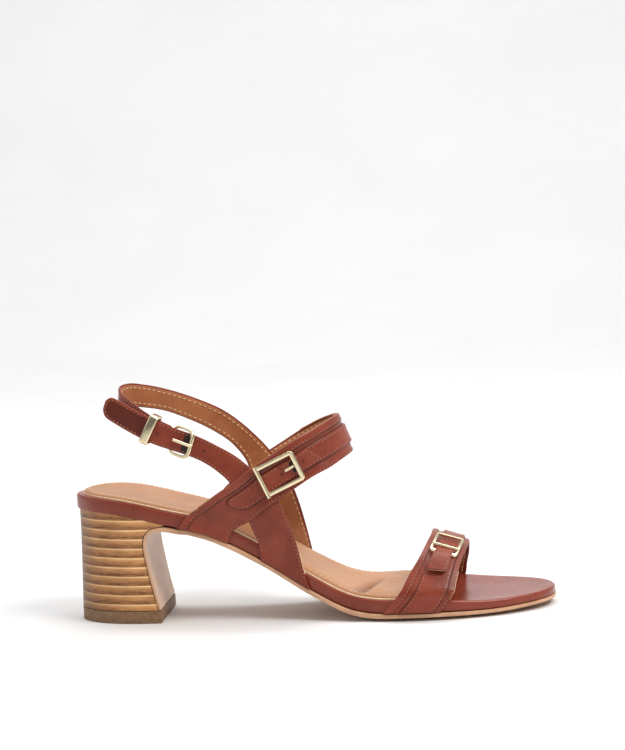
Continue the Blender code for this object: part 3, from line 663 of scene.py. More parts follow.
def stitches(name, lines, pitch=0.0020, length=0.0013, radius=0.00017):
    """Sewn thread: a short rounded stitch at each pitch along the lines."""
    verts = []
    faces = []
    rings = ((0.0, 0.35, -0.9), (0.12, 0.85, 0.0), (0.5, 1.0, 0.25), (0.88, 0.85, 0.0), (1.0, 0.35, -0.9))
    for points, normals in lines:
        run = np.concatenate([[0.0], np.cumsum(np.linalg.norm(np.diff(points, axis=0), axis=1))])
        for begin in np.arange(pitch * 0.5, run[-1] - length, pitch):
            spots = []
            for share in (0.0, 0.12, 0.5, 0.88, 1.0):
                d = begin + share * length
                spots.append([np.interp(d, run, points[:, i]) for i in range(3)])
            spots = np.array(spots)
            normal = np.array([np.interp(begin, run, normals[:, i]) for i in range(3)])
            way = spots[-1] - spots[0]
            way /= np.linalg.norm(way)
            side = np.cross(way, normal)
            side /= np.linalg.norm(side)
            base = len(verts)
            for spot, (share, wide, up) in zip(spots, rings):
                for k in range(6):
                    angle = math.pi * k / 3
                    offset = side * math.cos(angle) + normal * math.sin(angle)
                    verts.append(spot + offset * radius * wide + normal * radius * up)
            for ring in range(4):
                for k in range(6):
                    a = base + ring * 6 + k
                    b = base + ring * 6 + (k + 1) % 6
                    faces.append([a, b, b + 6, a + 6])
            faces.append([base + k for k in range(5, -1, -1)])
            faces.append([base + 24 + k for k in range(6)])
    mesh = bpy.data.meshes.new(name)
    mesh.from_pydata([tuple(map(float, v)) for v in verts], [], faces)
    mesh.shade_smooth()
    made = bpy.data.objects.new(name, mesh)
    bpy.context.scene.collection.objects.link(made)
    return made


def tube(name, points, radius, sides=10, closed=False):
    """Round cord through points."""
    points = np.asarray(points, float)
    n = len(points)
    way = np.roll(points, -1, 0) - np.roll(points, 1, 0) if closed else np.gradient(points, axis=0)
    way /= np.linalg.norm(way, axis=1)[:, None]
    up = np.array((0.0, 0.0, 1.0))
    verts = []
    for point, along in zip(points, way):
        first = np.cross(along, up)
        if np.linalg.norm(first) < 0.1:
            first = np.cross(along, (0.0, 1.0, 0.0))
        first /= np.linalg.norm(first)
        second = np.cross(along, first)
        for k in range(sides):
            angle = 2 * math.pi * k / sides
            verts.append(point + radius * (first * math.cos(angle) + second * math.sin(angle)))
    faces = []
    for i in range(n if closed else n - 1):
        for k in range(sides):
            a, b = i * sides + k, i * sides + (k + 1) % sides
            c, d = (i + 1) % n * sides + (k + 1) % sides, (i + 1) % n * sides + k
            faces.append([a, b, c, d])
    if not closed:
        faces += [list(range(sides - 1, -1, -1)), [(n - 1) * sides + k for k in range(sides)]]
    return solid(name, verts, faces)


def hoop(name, here, axes, size, bar, depth, corner, power=4.0, sides=20, round_steps=7, heavy=(0.0, 0.0), bend=0.0):
    """Buckle frame: a rounded rectangle of flattened bar; heavy widens its end bars and bend curves its last half."""
    along, wide, normal = axes
    length, width = size
    radius = corner * min(length, width)
    path = []
    for number, (sx, sy) in enumerate(((1, 1), (-1, 1), (-1, -1), (1, -1))):
        for k in range(round_steps):
            angle = math.radians(90 * number + 90 * k / (round_steps - 1))
            x = sx * (length / 2 - bar / 2 - radius) + radius * math.cos(angle)
            y = sy * (width / 2 - bar / 2 - radius) + radius * math.sin(angle)
            path.append((x, y, math.cos(angle), math.sin(angle)))
    verts = []
    for x, y, nx, ny in path:
        for k in range(sides):
            angle = 2 * math.pi * (k + 0.5) / sides
            c, s = math.cos(angle), math.sin(angle)
            more = 1 + heavy[0] * max(nx, 0) + heavy[1] * max(-nx, 0)
            out = bar / 2 * more * math.copysign(abs(c) ** (2 / power), c)
            up = depth / 2 * math.copysign(abs(s) ** (2 / power), s)
            drop = bend * min(x + nx * out, 0.0) ** 2
            verts.append(here + along * (x + nx * out) + wide * (y + ny * out) + normal * (up - drop))
    n = len(path)
    faces = []
    for i in range(n):
        for k in range(sides):
            low, high, nxt = i * sides, (i + 1) % n * sides, (k + 1) % sides
            faces.append([low + k, low + nxt, high + nxt, high + k])
    return solid(name, verts, faces)


def disc(name, spots, radius):
    """Holes punched in a strap: shallow discs on its face, dark with painted shade for the hole."""
    verts = []
    faces = []
    for here, normal, along in spots:
        side = np.cross(normal, along)
        base = len(verts)
        for height, share in ((-0.0001, 1.0), (0.00006, 1.0), (0.00006, 0.7), (-0.00002, 0.5)):
            for k in range(14):
                angle = 2 * math.pi * k / 14
                offset = along * math.cos(angle) + side * math.sin(angle)
                verts.append(here + offset * radius * share + normal * height)
        faces += ringed(base, 4, 14)
    return solid(name, verts, faces)


class Nodes:
    """Short way to write a material's nodes."""

    def __init__(self, name):
        self.made = bpy.data.materials.new(name)
        self.made.use_nodes = True
        self.tree = self.made.node_tree
        self.shader = self.tree.nodes["Principled BSDF"]
        self.place = self.add("ShaderNodeTexCoord").outputs["Object"]

    def add(self, kind, **settings):
        """New node with its settings."""
        node = self.tree.nodes.new(kind)
        for key, value in settings.items():
            setattr(node, key, value)
        return node

    def link(self, output, socket):
        """Joins two sockets."""
        self.tree.links.new(output, socket)

    def noise(self, scale, detail=4.0, rough=0.55, stretch=None):
        """Noise value over the object, in cells a metre."""
        place = self.place
        if stretch:
            mapping = self.add("ShaderNodeMapping")
            mapping.inputs["Scale"].default_value = stretch
            self.link(place, mapping.inputs["Vector"])
            place = mapping.outputs["Vector"]
        node = self.add("ShaderNodeTexNoise")
        node.inputs["Scale"].default_value = scale
        node.inputs["Detail"].default_value = detail
        node.inputs["Roughness"].default_value = rough
        self.link(place, node.inputs["Vector"])
        return node.outputs["Fac"]

    def ramp(self, value, stops):
        """Colour ramp: pairs of position and colour."""
        node = self.add("ShaderNodeValToRGB")
        while len(node.color_ramp.elements) < len(stops):
            node.color_ramp.elements.new(0.5)
        for element, (position, colour) in zip(node.color_ramp.elements, stops):
            element.position = position
            element.color = (*colour, 1.0)
        self.link(value, node.inputs["Fac"])
        return node.outputs["Color"]

    def math(self, operation, first, second=None):
        """Arithmetic on sockets or numbers."""
        node = self.add("ShaderNodeMath", operation=operation)
        for socket, value in zip(node.inputs, (first, second)):
            if value is None:
                continue
            if isinstance(value, (int, float)):
                socket.default_value = value
            else:
                self.link(value, socket)
        return node.outputs[0]

    def mix(self, share, first, second, blend="MIX"):
        """Mix of two colours by a share."""
        node = self.add("ShaderNodeMix", data_type="RGBA", blend_type=blend)
        for socket, value in ((node.inputs[0], share), (node.inputs[6], first), (node.inputs[7], second)):
            if isinstance(value, (int, float)):
                socket.default_value = value
            elif isinstance(value, tuple):
                socket.default_value = (*value, 1.0)
            else:
                self.link(value, socket)
        return node.outputs[2]

    def bump(self, layers):
        """Bumps stacked on each other: value, strength and depth in metres."""
        last = None
        for value, strength, depth in layers:
            node = self.add("ShaderNodeBump")
            node.inputs["Strength"].default_value = strength
            node.inputs["Distance"].default_value = depth
            self.link(value, node.inputs["Height"])
            if last:
                self.link(last, node.inputs["Normal"])
            last = node.outputs["Normal"]
        self.link(last, self.shader.inputs["Normal"])

    def set(self, name, value):
        """Shader input as a socket or a number."""
        socket = self.shader.inputs[name]
        if isinstance(value, (int, float)):
            socket.default_value = value
        elif isinstance(value, tuple):
            socket.default_value = (*value, 1.0)
        else:
            self.link(value, socket)


def leather(name, dark, light, rough, grain=0.5, coat=0.0, patch=60.0, shine=0.24, painted_shade=None):
    """Leather with tone changes, fine grain and faint creases; a last colour, if given, is multiplied in as painted
    shade where the mesh marks it.
    """
    n = Nodes(name)
    tone = n.noise(patch, 5.0, 0.6)
    fine = n.noise(1500.0, 3.0, 0.6)
    colour = n.ramp(tone, ((0.36, dark), (0.64, light)))
    spots = n.ramp(fine, ((0.30, (0.90, 0.89, 0.89)), (0.62, (1.0, 1.0, 1.0))))
    colour = n.mix(min(0.6, grain * 2), colour, spots, "MULTIPLY")
    # Painted shade: a darker colour multiplied in where the mesh marks it.
    if painted_shade:
        shade_mask = n.add("ShaderNodeAttribute", attribute_name="painted_shade").outputs["Fac"]
        colour = n.mix(shade_mask, colour, n.mix(1.0, colour, painted_shade, "MULTIPLY"))
    n.set("Base Color", colour)
    if grain < 0.1:
        n.bump(((n.noise(140.0, 2.0), 0.05, 0.0003),))
    else:
        cells = n.add("ShaderNodeTexVoronoi", feature="SMOOTH_F1")
        cells.inputs["Scale"].default_value = 1500.0
        n.link(n.place, cells.inputs["Vector"])
        creases = n.noise(330.0, 4.0, 0.7)
        n.bump(((creases, 0.30 * grain, 0.0006), (cells.outputs["Distance"], 0.30 * grain, 0.0002)))
    rough_map = n.ramp(n.noise(180.0, 4.0), ((0.3, (rough - 0.02,) * 3), (0.7, (rough + 0.04,) * 3)))
    n.set("Roughness", rough_map)
    n.set("Specular IOR Level", shine)
    n.set("Coat Weight", coat)
    n.set("Coat Roughness", 0.28)
    return n.made


def stacked_wood(name):
    """Stacked-look heel: light glue lines between darker layers, with fine grain along them; painted shade darkens its
    back and a painted highlight lightens its front part.
    """
    n = Nodes(name)
    split = n.add("ShaderNodeSeparateXYZ")
    n.link(n.place, split.inputs["Vector"])
    warp = n.math("MULTIPLY", n.math("SUBTRACT", n.noise(26.0, 2.0, 0.5, (1.0, 1.0, 0.3)), 0.5), 0.0010)
    height = n.math("ADD", split.outputs["Z"], warp)
    layer = n.math("FRACT", n.math("DIVIDE", n.math("SUBTRACT", height, LINE_START), LINE_STEP))
    bands = n.ramp(layer, (
        (0.00, (0.74, 0.470, 0.220)), (0.09, (0.76, 0.490, 0.235)), (0.125, (0.32, 0.140, 0.048)),
        (0.34, (0.29, 0.120, 0.040)), (0.58, (0.42, 0.190, 0.066)), (0.86, (0.52, 0.255, 0.096)),
        (0.965, (0.54, 0.270, 0.105)), (0.99, (0.74, 0.470, 0.220))))
    streak = n.ramp(n.noise(150.0, 5.0, 0.75, (1.0, 1.0, 9.0)), ((0.42, (0.34, 0.24, 0.17)), (0.55, (1.0, 1.0, 1.0))))
    blotch = n.ramp(n.noise(42.0, 3.0, 0.6, (1.0, 1.0, 2.6)), ((0.34, (0.72, 0.64, 0.58)), (0.62, (1.15, 1.12, 1.08))))
    below = n.ramp(layer, ((0.10, (0.0, 0.0, 0.0)), (0.20, (0.9, 0.9, 0.9)), (0.55, (0.55, 0.55, 0.55)),
                           (0.85, (0.25, 0.25, 0.25)), (0.97, (0.0, 0.0, 0.0))))
    colour = n.mix(below, bands, n.mix(1.0, bands, streak, "MULTIPLY"))
    colour = n.mix(0.75, colour, blotch, "MULTIPLY")
    # Painted shade: the colour darkens towards the heel's back.
    back = n.add("ShaderNodeMapRange")
    back.inputs["From Min"].default_value = place(0.0)
    back.inputs["From Max"].default_value = place(0.050)
    back.inputs["To Min"].default_value = 0.80
    back.inputs["To Max"].default_value = 0.0
    n.link(split.outputs["X"], back.inputs["Value"])
    # Painted highlight: the colour lightens from the middle towards the front of the heel.
    front = n.add("ShaderNodeMapRange")
    front.inputs["From Min"].default_value = place(0.050)
    front.inputs["From Max"].default_value = place(0.130)
    n.link(split.outputs["X"], front.inputs["Value"])
    colour = n.mix(front.outputs["Result"], colour, n.mix(1.0, colour, (1.22, 1.28, 1.34), "MULTIPLY"))
    n.set("Base Color", n.mix(back.outputs["Result"], colour, (0.13, 0.062, 0.032)))
    n.bump(((layer, 0.05, 0.0003), (n.noise(500.0, 3.0, 0.6, (1.0, 1.0, 6.0)), 0.10, 0.0003)))
    n.set("Roughness", 0.42)
    n.set("Specular IOR Level", 0.3)
    n.set("Coat Weight", 0.08)
    n.set("Coat Roughness", 0.25)
    return n.made


def plain(name, dark, light, rough, scale=300.0, bump=0.2, metallic=0.0, coat=0.0):
    """Material with soft tone changes and a fine bump."""
    n = Nodes(name)
    n.set("Base Color", n.ramp(n.noise(scale, 4.0), ((0.35, dark), (0.65, light))))
    n.bump(((n.noise(scale * 5, 3.0), bump, 0.0002),))
    n.set("Roughness", n.ramp(n.noise(scale * 1.7, 3.0), ((0.3, (rough * 0.85,) * 3), (0.7, (rough * 1.15,) * 3))))
    n.set("Metallic", metallic)
    n.set("Coat Weight", coat)
    return n.made


# Height of the heel's first light line and the step between the lines
LINE_START = 0.0093
LINE_STEP = 0.00472


def finish_piece(made, surface, slot, *nodes):
    """Gives a piece its material and its place in the frame; the slot is not used."""
    made.data.materials.clear()
    made.data.materials.append(surface)
    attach(made, "root")
    if nodes:
        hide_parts(*nodes)
    return made


BROWN = leather("strap_brown", (0.180, 0.031, 0.0150), (0.265, 0.048, 0.0245), 0.32, 1.10, 0.12)
# The tail's darker brown is painted shade: the loose tail faces away from the light.
TAIL_SHADE = leather("tail_painted_shade", (0.085, 0.0135, 0.0065), (0.130, 0.022, 0.011), 0.36, 0.6, 0.05)
WRAP = leather("wrap_brown", (0.190, 0.031, 0.0150), (0.250, 0.045, 0.0230), 0.28, 0.02, 0.10, 30.0, 0.30)
# Dark cord colour: painted shadow lines under the overlays' raised edges and at the binding's edge.
SHADOW_LINE = plain("painted_shadow_line", (0.050, 0.010, 0.006), (0.080, 0.017, 0.010), 0.5)
FOLD = leather("folded_edge", (0.200, 0.040, 0.022), (0.280, 0.062, 0.036), 0.36, 0.5, 0.10)
LINING = leather("tan_lining", (0.330, 0.115, 0.042), (0.430, 0.165, 0.066), 0.46, 0.30)
# The footbed's last colour is painted shade for the crease behind the ball and a band along the pad's edges.
FOOTBED = leather(
    "footbed_tan", (0.390, 0.172, 0.070), (0.480, 0.232, 0.108), 0.40, 0.10, 0.0, 28.0, 0.35, (0.46, 0.33, 0.22),
)
THREAD = plain("thread_tan", (0.34, 0.105, 0.052), (0.46, 0.165, 0.085), 0.6, 900.0)
CREAM = plain("thread_cream", (0.66, 0.44, 0.24), (0.82, 0.60, 0.37), 0.6, 900.0)
RIM = plain("rim_cord", (0.60, 0.40, 0.22), (0.76, 0.55, 0.34), 0.4, 700.0)
SOLE = plain("outsole_tan", (0.50, 0.265, 0.145), (0.62, 0.350, 0.205), 0.42, 90.0, 0.15)
BREAST = plain("breast_beige", (0.58, 0.360, 0.220), (0.64, 0.410, 0.260), 0.42, 60.0, 0.12)
LIFTED = plain("lift_brown", (0.18, 0.092, 0.038), (0.25, 0.140, 0.070), 0.6, 500.0, 0.5)
WOOD = stacked_wood("stacked_wood")
GOLD = plain("pale_gold", (0.80, 0.68, 0.43), (0.90, 0.79, 0.55), 0.13, 200.0, 0.05, 1.0)
# Dark colour of holes, needle holes and openings: painted shade.
HOLE_SHADE = plain("hole_painted_shade", (0.018, 0.006, 0.005), (0.028, 0.009, 0.007), 0.8)


def make_platform():
    """Wrapped platform with soft edges."""
    along = spaced(1.0, SOLE_ROWS)
    r = PLATFORM_ROUND * 1.25
    layers = []
    for turned in (0, 18, 36, 54, 72, 90):
        angle = math.radians(turned)
        drop = r * (1 - math.cos(angle))
        layers.append(lifted(rows_of(along, r * (1 - math.sin(angle))), lambda a, y, d=drop: deck(a, y) - d))
    for turned in (0, 30, 60, 90):
        angle = math.radians(turned)
        rise = r * 0.5 * (1 - math.sin(angle))
        inset = r * 0.5 * (1 - math.cos(angle))
        layers.append(lifted(rows_of(along, inset), lambda a, y, d=rise: under(a, y) + d))
    finish_piece(loft("platform_wrap", layers), WRAP, "wrap", "platform")


def dent(a, y):
    """Crease behind the ball of the foot, from 0 to 1, and the soft hump in front of it."""
    v = across(a, y)
    line = 0.598 + 0.030 * np.clip(v + 0.8, 0, 1) ** 1.4
    deep = np.exp(-(((a - line) / (0.009 + 0.004 * np.clip(-v, 0, 1))) ** 2))
    deep = deep * np.clip((0.45 - v) / 0.5, 0, 1) * np.clip((v + 0.92) / 0.25, 0, 1)
    hump = np.exp(-(((a - line - 0.030) / 0.018) ** 2))
    hump = hump * np.clip((0.7 - v) / 0.5, 0, 1) * np.clip((v + 0.9) / 0.3, 0, 1)
    return deep, hump


def soft_top(a, y):
    """Top of the pad with its crease and hump."""
    deep, hump = dent(a, y)
    return pad_top(a, y) - 0.0021 * deep + 0.0013 * hump


def pad_inset(along, extra):
    """Distance of the pad from the platform's edge: wider round the heel."""
    return (PAD_INSET + extra + 0.0024 * np.clip(1 - along / 0.10, 0, 1) ** 1.3)[:, None]


def make_pad():
    """Padded footbed with its light cord and its stitches, and a mask of painted shade in its crease and along its
    edges.
    """
    along = spaced(PAD_FRONT, 170)
    soft = PAD * 0.75
    layers = []
    for turned in (0, 15, 30, 45, 60, 75, 90):
        angle = math.radians(turned)
        inset = pad_inset(along, 0.0002 + 0.0024 * (1 - math.sin(angle)))
        drop = soft * (1 - math.cos(angle))
        rows = rows_of(along, inset, 0.0024 * (1 - math.sin(angle)))
        layers.append(lifted(rows, lambda a, y, d=drop: soft_top(a, y) - d))
    layers.append(lifted(rows_of(along, pad_inset(along, 0.0002)), lambda a, y: deck(a, y) + 0.0001))
    pad = finish_piece(loft("footbed_cushion", layers), FOOTBED, "lining", "footbed_pad")
    # Painted shade: darker in the crease behind the ball and in a band along the pad's edges.
    spots = np.array([v.co for v in pad.data.vertices])
    a = spots[:, 0] / LENGTH + ORIGIN
    deep = dent(a, spots[:, 1])[0]
    v = np.abs(across(a, spots[:, 1]))
    shade_mask = np.clip(deep * 1.1 + 0.40 * np.clip((v - 0.80) / 0.15, 0, 1), 0, 1)
    pad.data.attributes.new("painted_shade", "FLOAT", "POINT").data.foreach_set("value", shade_mask.astype(np.float32))
    for name, extra, height in (("footbed_edge", -0.0002, 0.0002), ("footbed_stitches", 0.0022, 0.0)):
        rows = rows_of(along, pad_inset(along, extra))
        edge = np.concatenate([rows[::-1, 0], rows[1:, -1]])
        share = edge[:, 0] / LENGTH
        if name == "footbed_edge":
            points = np.stack([place(share), edge[:, 1], deck(share, edge[:, 1]) + 0.0003], -1)
            finish_piece(tube(name, points, 0.00042, 8), RIM, "lining")
        else:
            points = np.stack([place(share), edge[:, 1], soft_top(share, edge[:, 1]) + 0.00002], -1)
            normals = np.tile((0.0, 0.0, 1.0), (len(points), 1))
            finish_piece(stitches(name, [(points, normals)], 0.0028, 0.0018, 0.00016), CREAM, "lining")


def make_heel():
    """Heel block with its curved breast."""
    levels = np.concatenate([np.linspace(HEEL[0][0], HEEL[-2][0], 60), [0.8975, HEEL[-1][0]]])
    layers = []
    for level in levels:
        plan = heel_plan(*heel_row(float(level)))
        z = max(float(level) * SEAT_HEIGHT, LIFT + 0.0001)
        layers.append(lifted(plan, lambda a, y, z=z: np.full_like(y, z)))
    top = heel_plan(SEAT_FRONT, 0.005, 0.978)
    layers.append(lifted(top, lambda a, y: under(a, y) - 0.0001))
    finish_piece(loft("heel_stack", layers[::-1]), WOOD, "wood", "heel_block")
    level, front, back, breadth = HEEL[0]
    r = 0.0005
    layers = []
    for inset, z in ((r, LIFT), (r * 0.3, LIFT - r * 0.3), (0.0, LIFT - r), (0.0, r), (r * 0.3, r * 0.3), (r, 0.0)):
        foot = heel_plan(front + (CLEAR + FLAP) / LENGTH, back, breadth, grow=LIFT_PROUD - inset)
        foot[-1, :, 0] -= inset
        layers.append(lifted(foot, lambda a, y, z=z: np.full_like(y, z)))
    finish_piece(loft("heel_top_lift", layers), LIFTED, "lift", "heel_lift")


def make_outsole():
    """Outsole with its flap down the breast of the heel."""
    bent = sole_path()
    flat = 0.245 + (1 - 0.245) * np.sin(np.linspace(0, math.pi / 2, SOLE_ROWS))
    k = np.linspace(0, 1, SOLE_CELLS + 1)
    x = np.array([a * LENGTH for a, z in bent] + [flat[0] * LENGTH])
    z = np.array([z for a, z in bent] + [float(under(flat[0], 0.0)) - CLEAR])
    slope = np.stack([np.gradient(x), np.gradient(z)], 1)
    slope /= np.linalg.norm(slope, axis=1)[:, None]
    normal = np.stack([slope[:, 1], -slope[:, 0]], 1)
    layers = []
    for inset, share_up in ((0.0004, 0.0), (0.0001, 0.1), (0.0, 0.25), (0.0, 0.75), (0.0001, 0.9), (0.0005, 1.0)):
        rows = []
        for i, (a, level) in enumerate(bent):
            share = min(max((a - 0.150) / 0.045, 0.0), 1.0) if i > BEND else 0.0
            thick = FLAP + (OUTSOLE - FLAP) * share
            if i < len(bent) - 3:
                front, back, breadth = heel_row(level / SEAT_HEIGHT)
            else:
                front, breadth = a, 0.975
            y0 = -float(lateral(front)) * breadth + inset
            y1 = float(medial(front)) * breadth - inset
            y = y0 * (1 - k) + y1 * k
            reach = CLEAR + thick * share_up
            px = x[i] + normal[i, 0] * reach
            pz = z[i] + normal[i, 1] * reach
            rows.append(np.stack([np.full_like(y, px - ORIGIN * LENGTH), y, np.full_like(y, pz)], -1))
        grid = rows_of(flat, inset - LEDGE)
        first = np.clip((flat - 0.245) / 0.08, 0, 1) * np.clip((1.06 - flat) / 0.3, 0, 1)
        first = first[:, None, None]
        tight = rows_of(flat, inset)
        tight[..., 1] *= 0.98
        grid = tight * (1 - first) + grid * first
        drop = share_up
        sheet = lifted(grid, lambda a, y, d=drop: under(a, y) - CLEAR - OUTSOLE * profile(4, a) * d)
        layers.append(np.concatenate([np.array(rows), sheet]))
    made = finish_piece(loft("sole_edge", layers), SOLE, "outsole", "outsole")
    made.data.materials.append(BREAST)
    for face in made.data.polygons:
        if face.center.x < place(0.205) and face.center.z < 0.9 * SEAT_HEIGHT and abs(face.normal.y) < 0.7:
            face.material_index = 1


def body(strap, name, start, stop, slot, replaced=(), tips=(0.0, 0.0), lined=(-0.90, 0.86)):
    """Brown strap with its separate tan lining."""
    made = strap.strip(name, start, stop, (-1.0, 1.0), (0.0, 0.00065 - WALL), 0.0004, tips)
    finish_piece(made, BROWN, slot, *replaced)
    lining = strap.strip(name + "_lining", start, stop, lined, (0.0007 - WALL, -WALL), 0.00025, tips)
    finish_piece(lining, LINING, slot)


def edge_line(name, strap, start, stop, c, height, surface, radius=0.00030):
    """Thin cord along a share across the strap."""
    at = np.linspace(start, stop, max(int((stop - start) / 0.001), 4))
    points, normals = strap.trace(at, c, height)
    return finish_piece(tube(name, points, radius, 8), surface, "strap")


def patch(strap, name, at, c, size, height, surface):
    """Small rounded dark patch on a strap: painted shade of an opening beside a buckle's bar, given its middle and its
    size along and across.
    """
    here, along, wide, normal = strap.frame(at, c)
    verts = []
    for level, share in ((-0.0003, 1.0), (height, 1.0), (height + 0.00004, 0.85)):
        for k in range(20):
            angle = 2 * math.pi * (k + 0.5) / 20
            x = math.copysign(abs(math.cos(angle)) ** 0.55, math.cos(angle))
            y = math.copysign(abs(math.sin(angle)) ** 0.55, math.sin(angle))
            offset = along * x * size[0] / 2 + wide * y * size[1] / 2
            verts.append(here + offset * share + normal * level)
    return finish_piece(solid(name, verts, ringed(0, 3, 20)), surface, "strap")


def make_straps():
    """Straps with linings, raised panels, stitches and holes."""
    outer = Strap(OUTER_SLING, HIGH_RISE)
    inner = Strap(INNER_SLING, HIGH_RISE)
    instep = Strap(INSTEP, HIGH_RISE)
    toe = Strap(TOE, TOE_RISE)
    body(instep, "instep_strap", 0.0, instep.travel[-1], "strap", ("rear_upper",))
    body(outer, "outer_sling", 0.0, outer.travel[-1], "strap", (), (0.0, 0.0045))
    body(inner, "inner_sling", 0.0, inner.travel[-1], "strap", (), (0.003, 0.0))
    body(toe, "toe_band", 0.0, toe.travel[-1], "strap", ("toe_strap",))

    up = 0.00006
    rim_high = 0.0006
    start, stop, low, high = INSTEP_PANEL
    first, last = instep.distance(start), instep.distance(stop)
    tips = (0.0045, 0.0045)
    made = instep.strip("instep_overlay", first, last, (low, high), (OVERLAY, -0.0003), 0.00045, tips)
    finish_piece(made, BROWN, "strap")
    # Dark cord just outside the instep overlay's edge: painted shadow line under its raised edge.
    points, normals = contour(instep, first, last, (low, high), -0.0002, 0.0002, tips)
    finish_piece(tube("instep_overlay_shadow_line", points, 0.00030, 8), SHADOW_LINE, "strap")
    made = instep.strip("instep_binding", 0.0002, instep.travel[-1] - 0.0002, (-1.0, -0.66),
                        (rim_high, -0.0003), 0.0003)
    finish_piece(made, BROWN, "strap")
    # Dark cord along the binding's edge: painted shadow line.
    edge_line("instep_groove_shadow", instep, 0.0004, instep.travel[-1] - 0.0004, -0.645, 0.0001, SHADOW_LINE)
    edge_line("instep_rear_edge", instep, instep.distance(3.0), instep.distance(12.0), -0.985, -0.0003, FOLD, 0.00045)
    edge_line("instep_lining_edge", instep, instep.distance(1.8), instep.distance(13.0), -0.99,
              -WALL + 0.0002, LINING, 0.00045)
    start, stop, low_toe, high_toe = TOE_PANEL
    first_toe, last_toe = toe.distance(start) + 0.0006, toe.distance(stop) - 0.0006
    made = toe.strip("toe_overlay", first_toe, last_toe, (low_toe, high_toe), (OVERLAY, -0.0003), 0.00045)
    finish_piece(made, BROWN, "strap")
    # Dark cords just outside the toe overlay's edges: painted shadow lines under them.
    for c, side in ((low_toe, "rear"), (high_toe, "front")):
        edge_line("toe_overlay_shadow_line_" + side, toe, first_toe, last_toe, c + math.copysign(0.015, c), 0.0002, SHADOW_LINE)
    made = toe.strip("toe_binding", 0.0004, toe.travel[-1] - 0.0004, (-1.0, -0.68), (rim_high, -0.0003), 0.0003)
    finish_piece(made, BROWN, "strap")
    edge_line("toe_light_edge", toe, toe.distance(1.15), toe.distance(3.6), 0.99, -0.0009, RIM, 0.00040)

    edge_line("leg_light_edge", outer, outer.distance(0.90), outer.distance(1.6), 0.995, -0.0008, RIM, 0.00040)

    # fold of the strap's end beside the instep buckle
    middle = instep.distance(INSTEP_AT)
    fold = (middle + INSTEP_BUCKLE[0] * 0.20, middle + INSTEP_BUCKLE[0] / 2 + 0.0095)
    inside = (low + 0.05, high - 0.05)
    made = instep.strip("instep_fold", *fold, inside, (OVERLAY + 0.0006, OVERLAY - 0.0003), 0.0003, (0.0, 0.0030), 0.5)
    finish_piece(made, FOLD, "strap")

    # loose tab of the toe slider
    at = toe.distance(TOE_AT)
    edges = (-0.36, 0.50)
    free, cross = at - TAB, at - TOE_BUCKLE[0] / 2 + BAR / 2
    rest = (OVERLAY + 0.0024, OVERLAY + 0.0022, OVERLAY + 0.0020, OVERLAY + 0.0003)
    made = toe.strip("toe_tab", free, cross, edges, (np.array(rest) + 0.0011, rest), 0.0004, (0.0022, 0.0), 0.72)
    finish_piece(made, BROWN, "strap")
    made = toe.strip("toe_tab_lining", free + 0.0001, cross, edges,
                     (np.array(rest) + 0.0002, np.array(rest) - 0.0004), 0.0002, (0.0022, 0.0), 0.72)
    finish_piece(made, RIM, "strap")

    # darker inset of the loose tail, inside its folded edges: painted shade, as the tail faces away from the light
    tail = (outer.distance(KEEPER_AT) + KEEPER / 2 + 0.0006, outer.travel[-1] - 0.0012)
    made = outer.strip("tail_shade_inset", *tail, (-0.80, 0.80), (0.00012, -0.0003), 0.0001, (0.0, 0.0040))
    finish_piece(made, TAIL_SHADE, "strap")

    lines = [
        contour(instep, first, last, (low, high), 0.0011, OVERLAY + up, tips),
        instep.seam(0.004, instep.travel[-1] - 0.004, 1.0, 0.0012, up),
        instep.seam(0.004, instep.travel[-1] - 0.004, -0.66, 0.0008, rim_high + up),
        contour(instep, *fold, inside, 0.0009, OVERLAY + 0.0006 + up, (0.0, 0.0030), 0.5, (False, True)),
        outer.seam(0.004, outer.distance(KEEPER_AT) - 0.002, 1.0, 0.0011, up),
        outer.seam(0.004, outer.distance(KEEPER_AT) - 0.002, -1.0, -0.0011, up),
        contour(outer, tail[0], outer.travel[-1], (-1.0, 1.0), 0.0012, 0.00012 + up,
                (0.0, 0.0045), 0.37, (False, True)),
        inner.seam(0.003, inner.travel[-1] - 0.004, 1.0, 0.0011, up),
        inner.seam(0.003, inner.travel[-1] - 0.004, -1.0, -0.0011, up),
    ]
    finish_piece(stitches("rear_stitches", lines), THREAD, "strap")
    finish_piece(needle_holes("rear_needle_holes", lines, 0.0020), HOLE_SHADE, "strap")
    lines = [
        toe.seam(first_toe + 0.001, last_toe - 0.001, high_toe, 0.0011, OVERLAY + up),
        toe.seam(first_toe + 0.001, last_toe - 0.001, low_toe, -0.0011, OVERLAY + up),
        toe.seam(0.002, toe.travel[-1] - 0.002, -0.68, 0.0008, rim_high + up),
        toe.seam(0.002, toe.travel[-1] - 0.002, 1.0, 0.0010, up),
    ]
    for c, inset in ((edges[1], 0.0009), (edges[0], -0.0009)):
        points, normals = toe.seam(free + 0.0018, cross - 0.0012, c, inset, 0.0)
        run = np.linspace(0, 1, len(points)) * (len(points) - 1) * 0.0005 + 0.0018
        level = np.interp(run / (cross - free), np.linspace(0, 1, 4), np.array(rest) + 0.0011 + up)
        lines.append((points + normals * level[:, None], normals))
    finish_piece(stitches("toe_stitches", lines), THREAD, "strap")
    finish_piece(needle_holes("toe_needle_holes", lines, 0.0020), HOLE_SHADE, "strap")
    depth = -WALL - 0.00004
    lines = []
    for strap, begin, end in ((outer, 0.004, outer.travel[-1] - 0.006), (inner, 0.004, inner.travel[-1] - 0.004),
                              (instep, 0.006, instep.travel[-1] - 0.006), (toe, 0.006, toe.travel[-1] - 0.004)):
        for c, inset in ((1.0, 0.0021), (-1.0, -0.0021)):
            points, normals = strap.seam(begin, end, c, inset, depth)
            lines.append((points, -normals))
    finish_piece(stitches("lining_stitches", lines, 0.0028, 0.0018, 0.00026), CREAM, "strap")

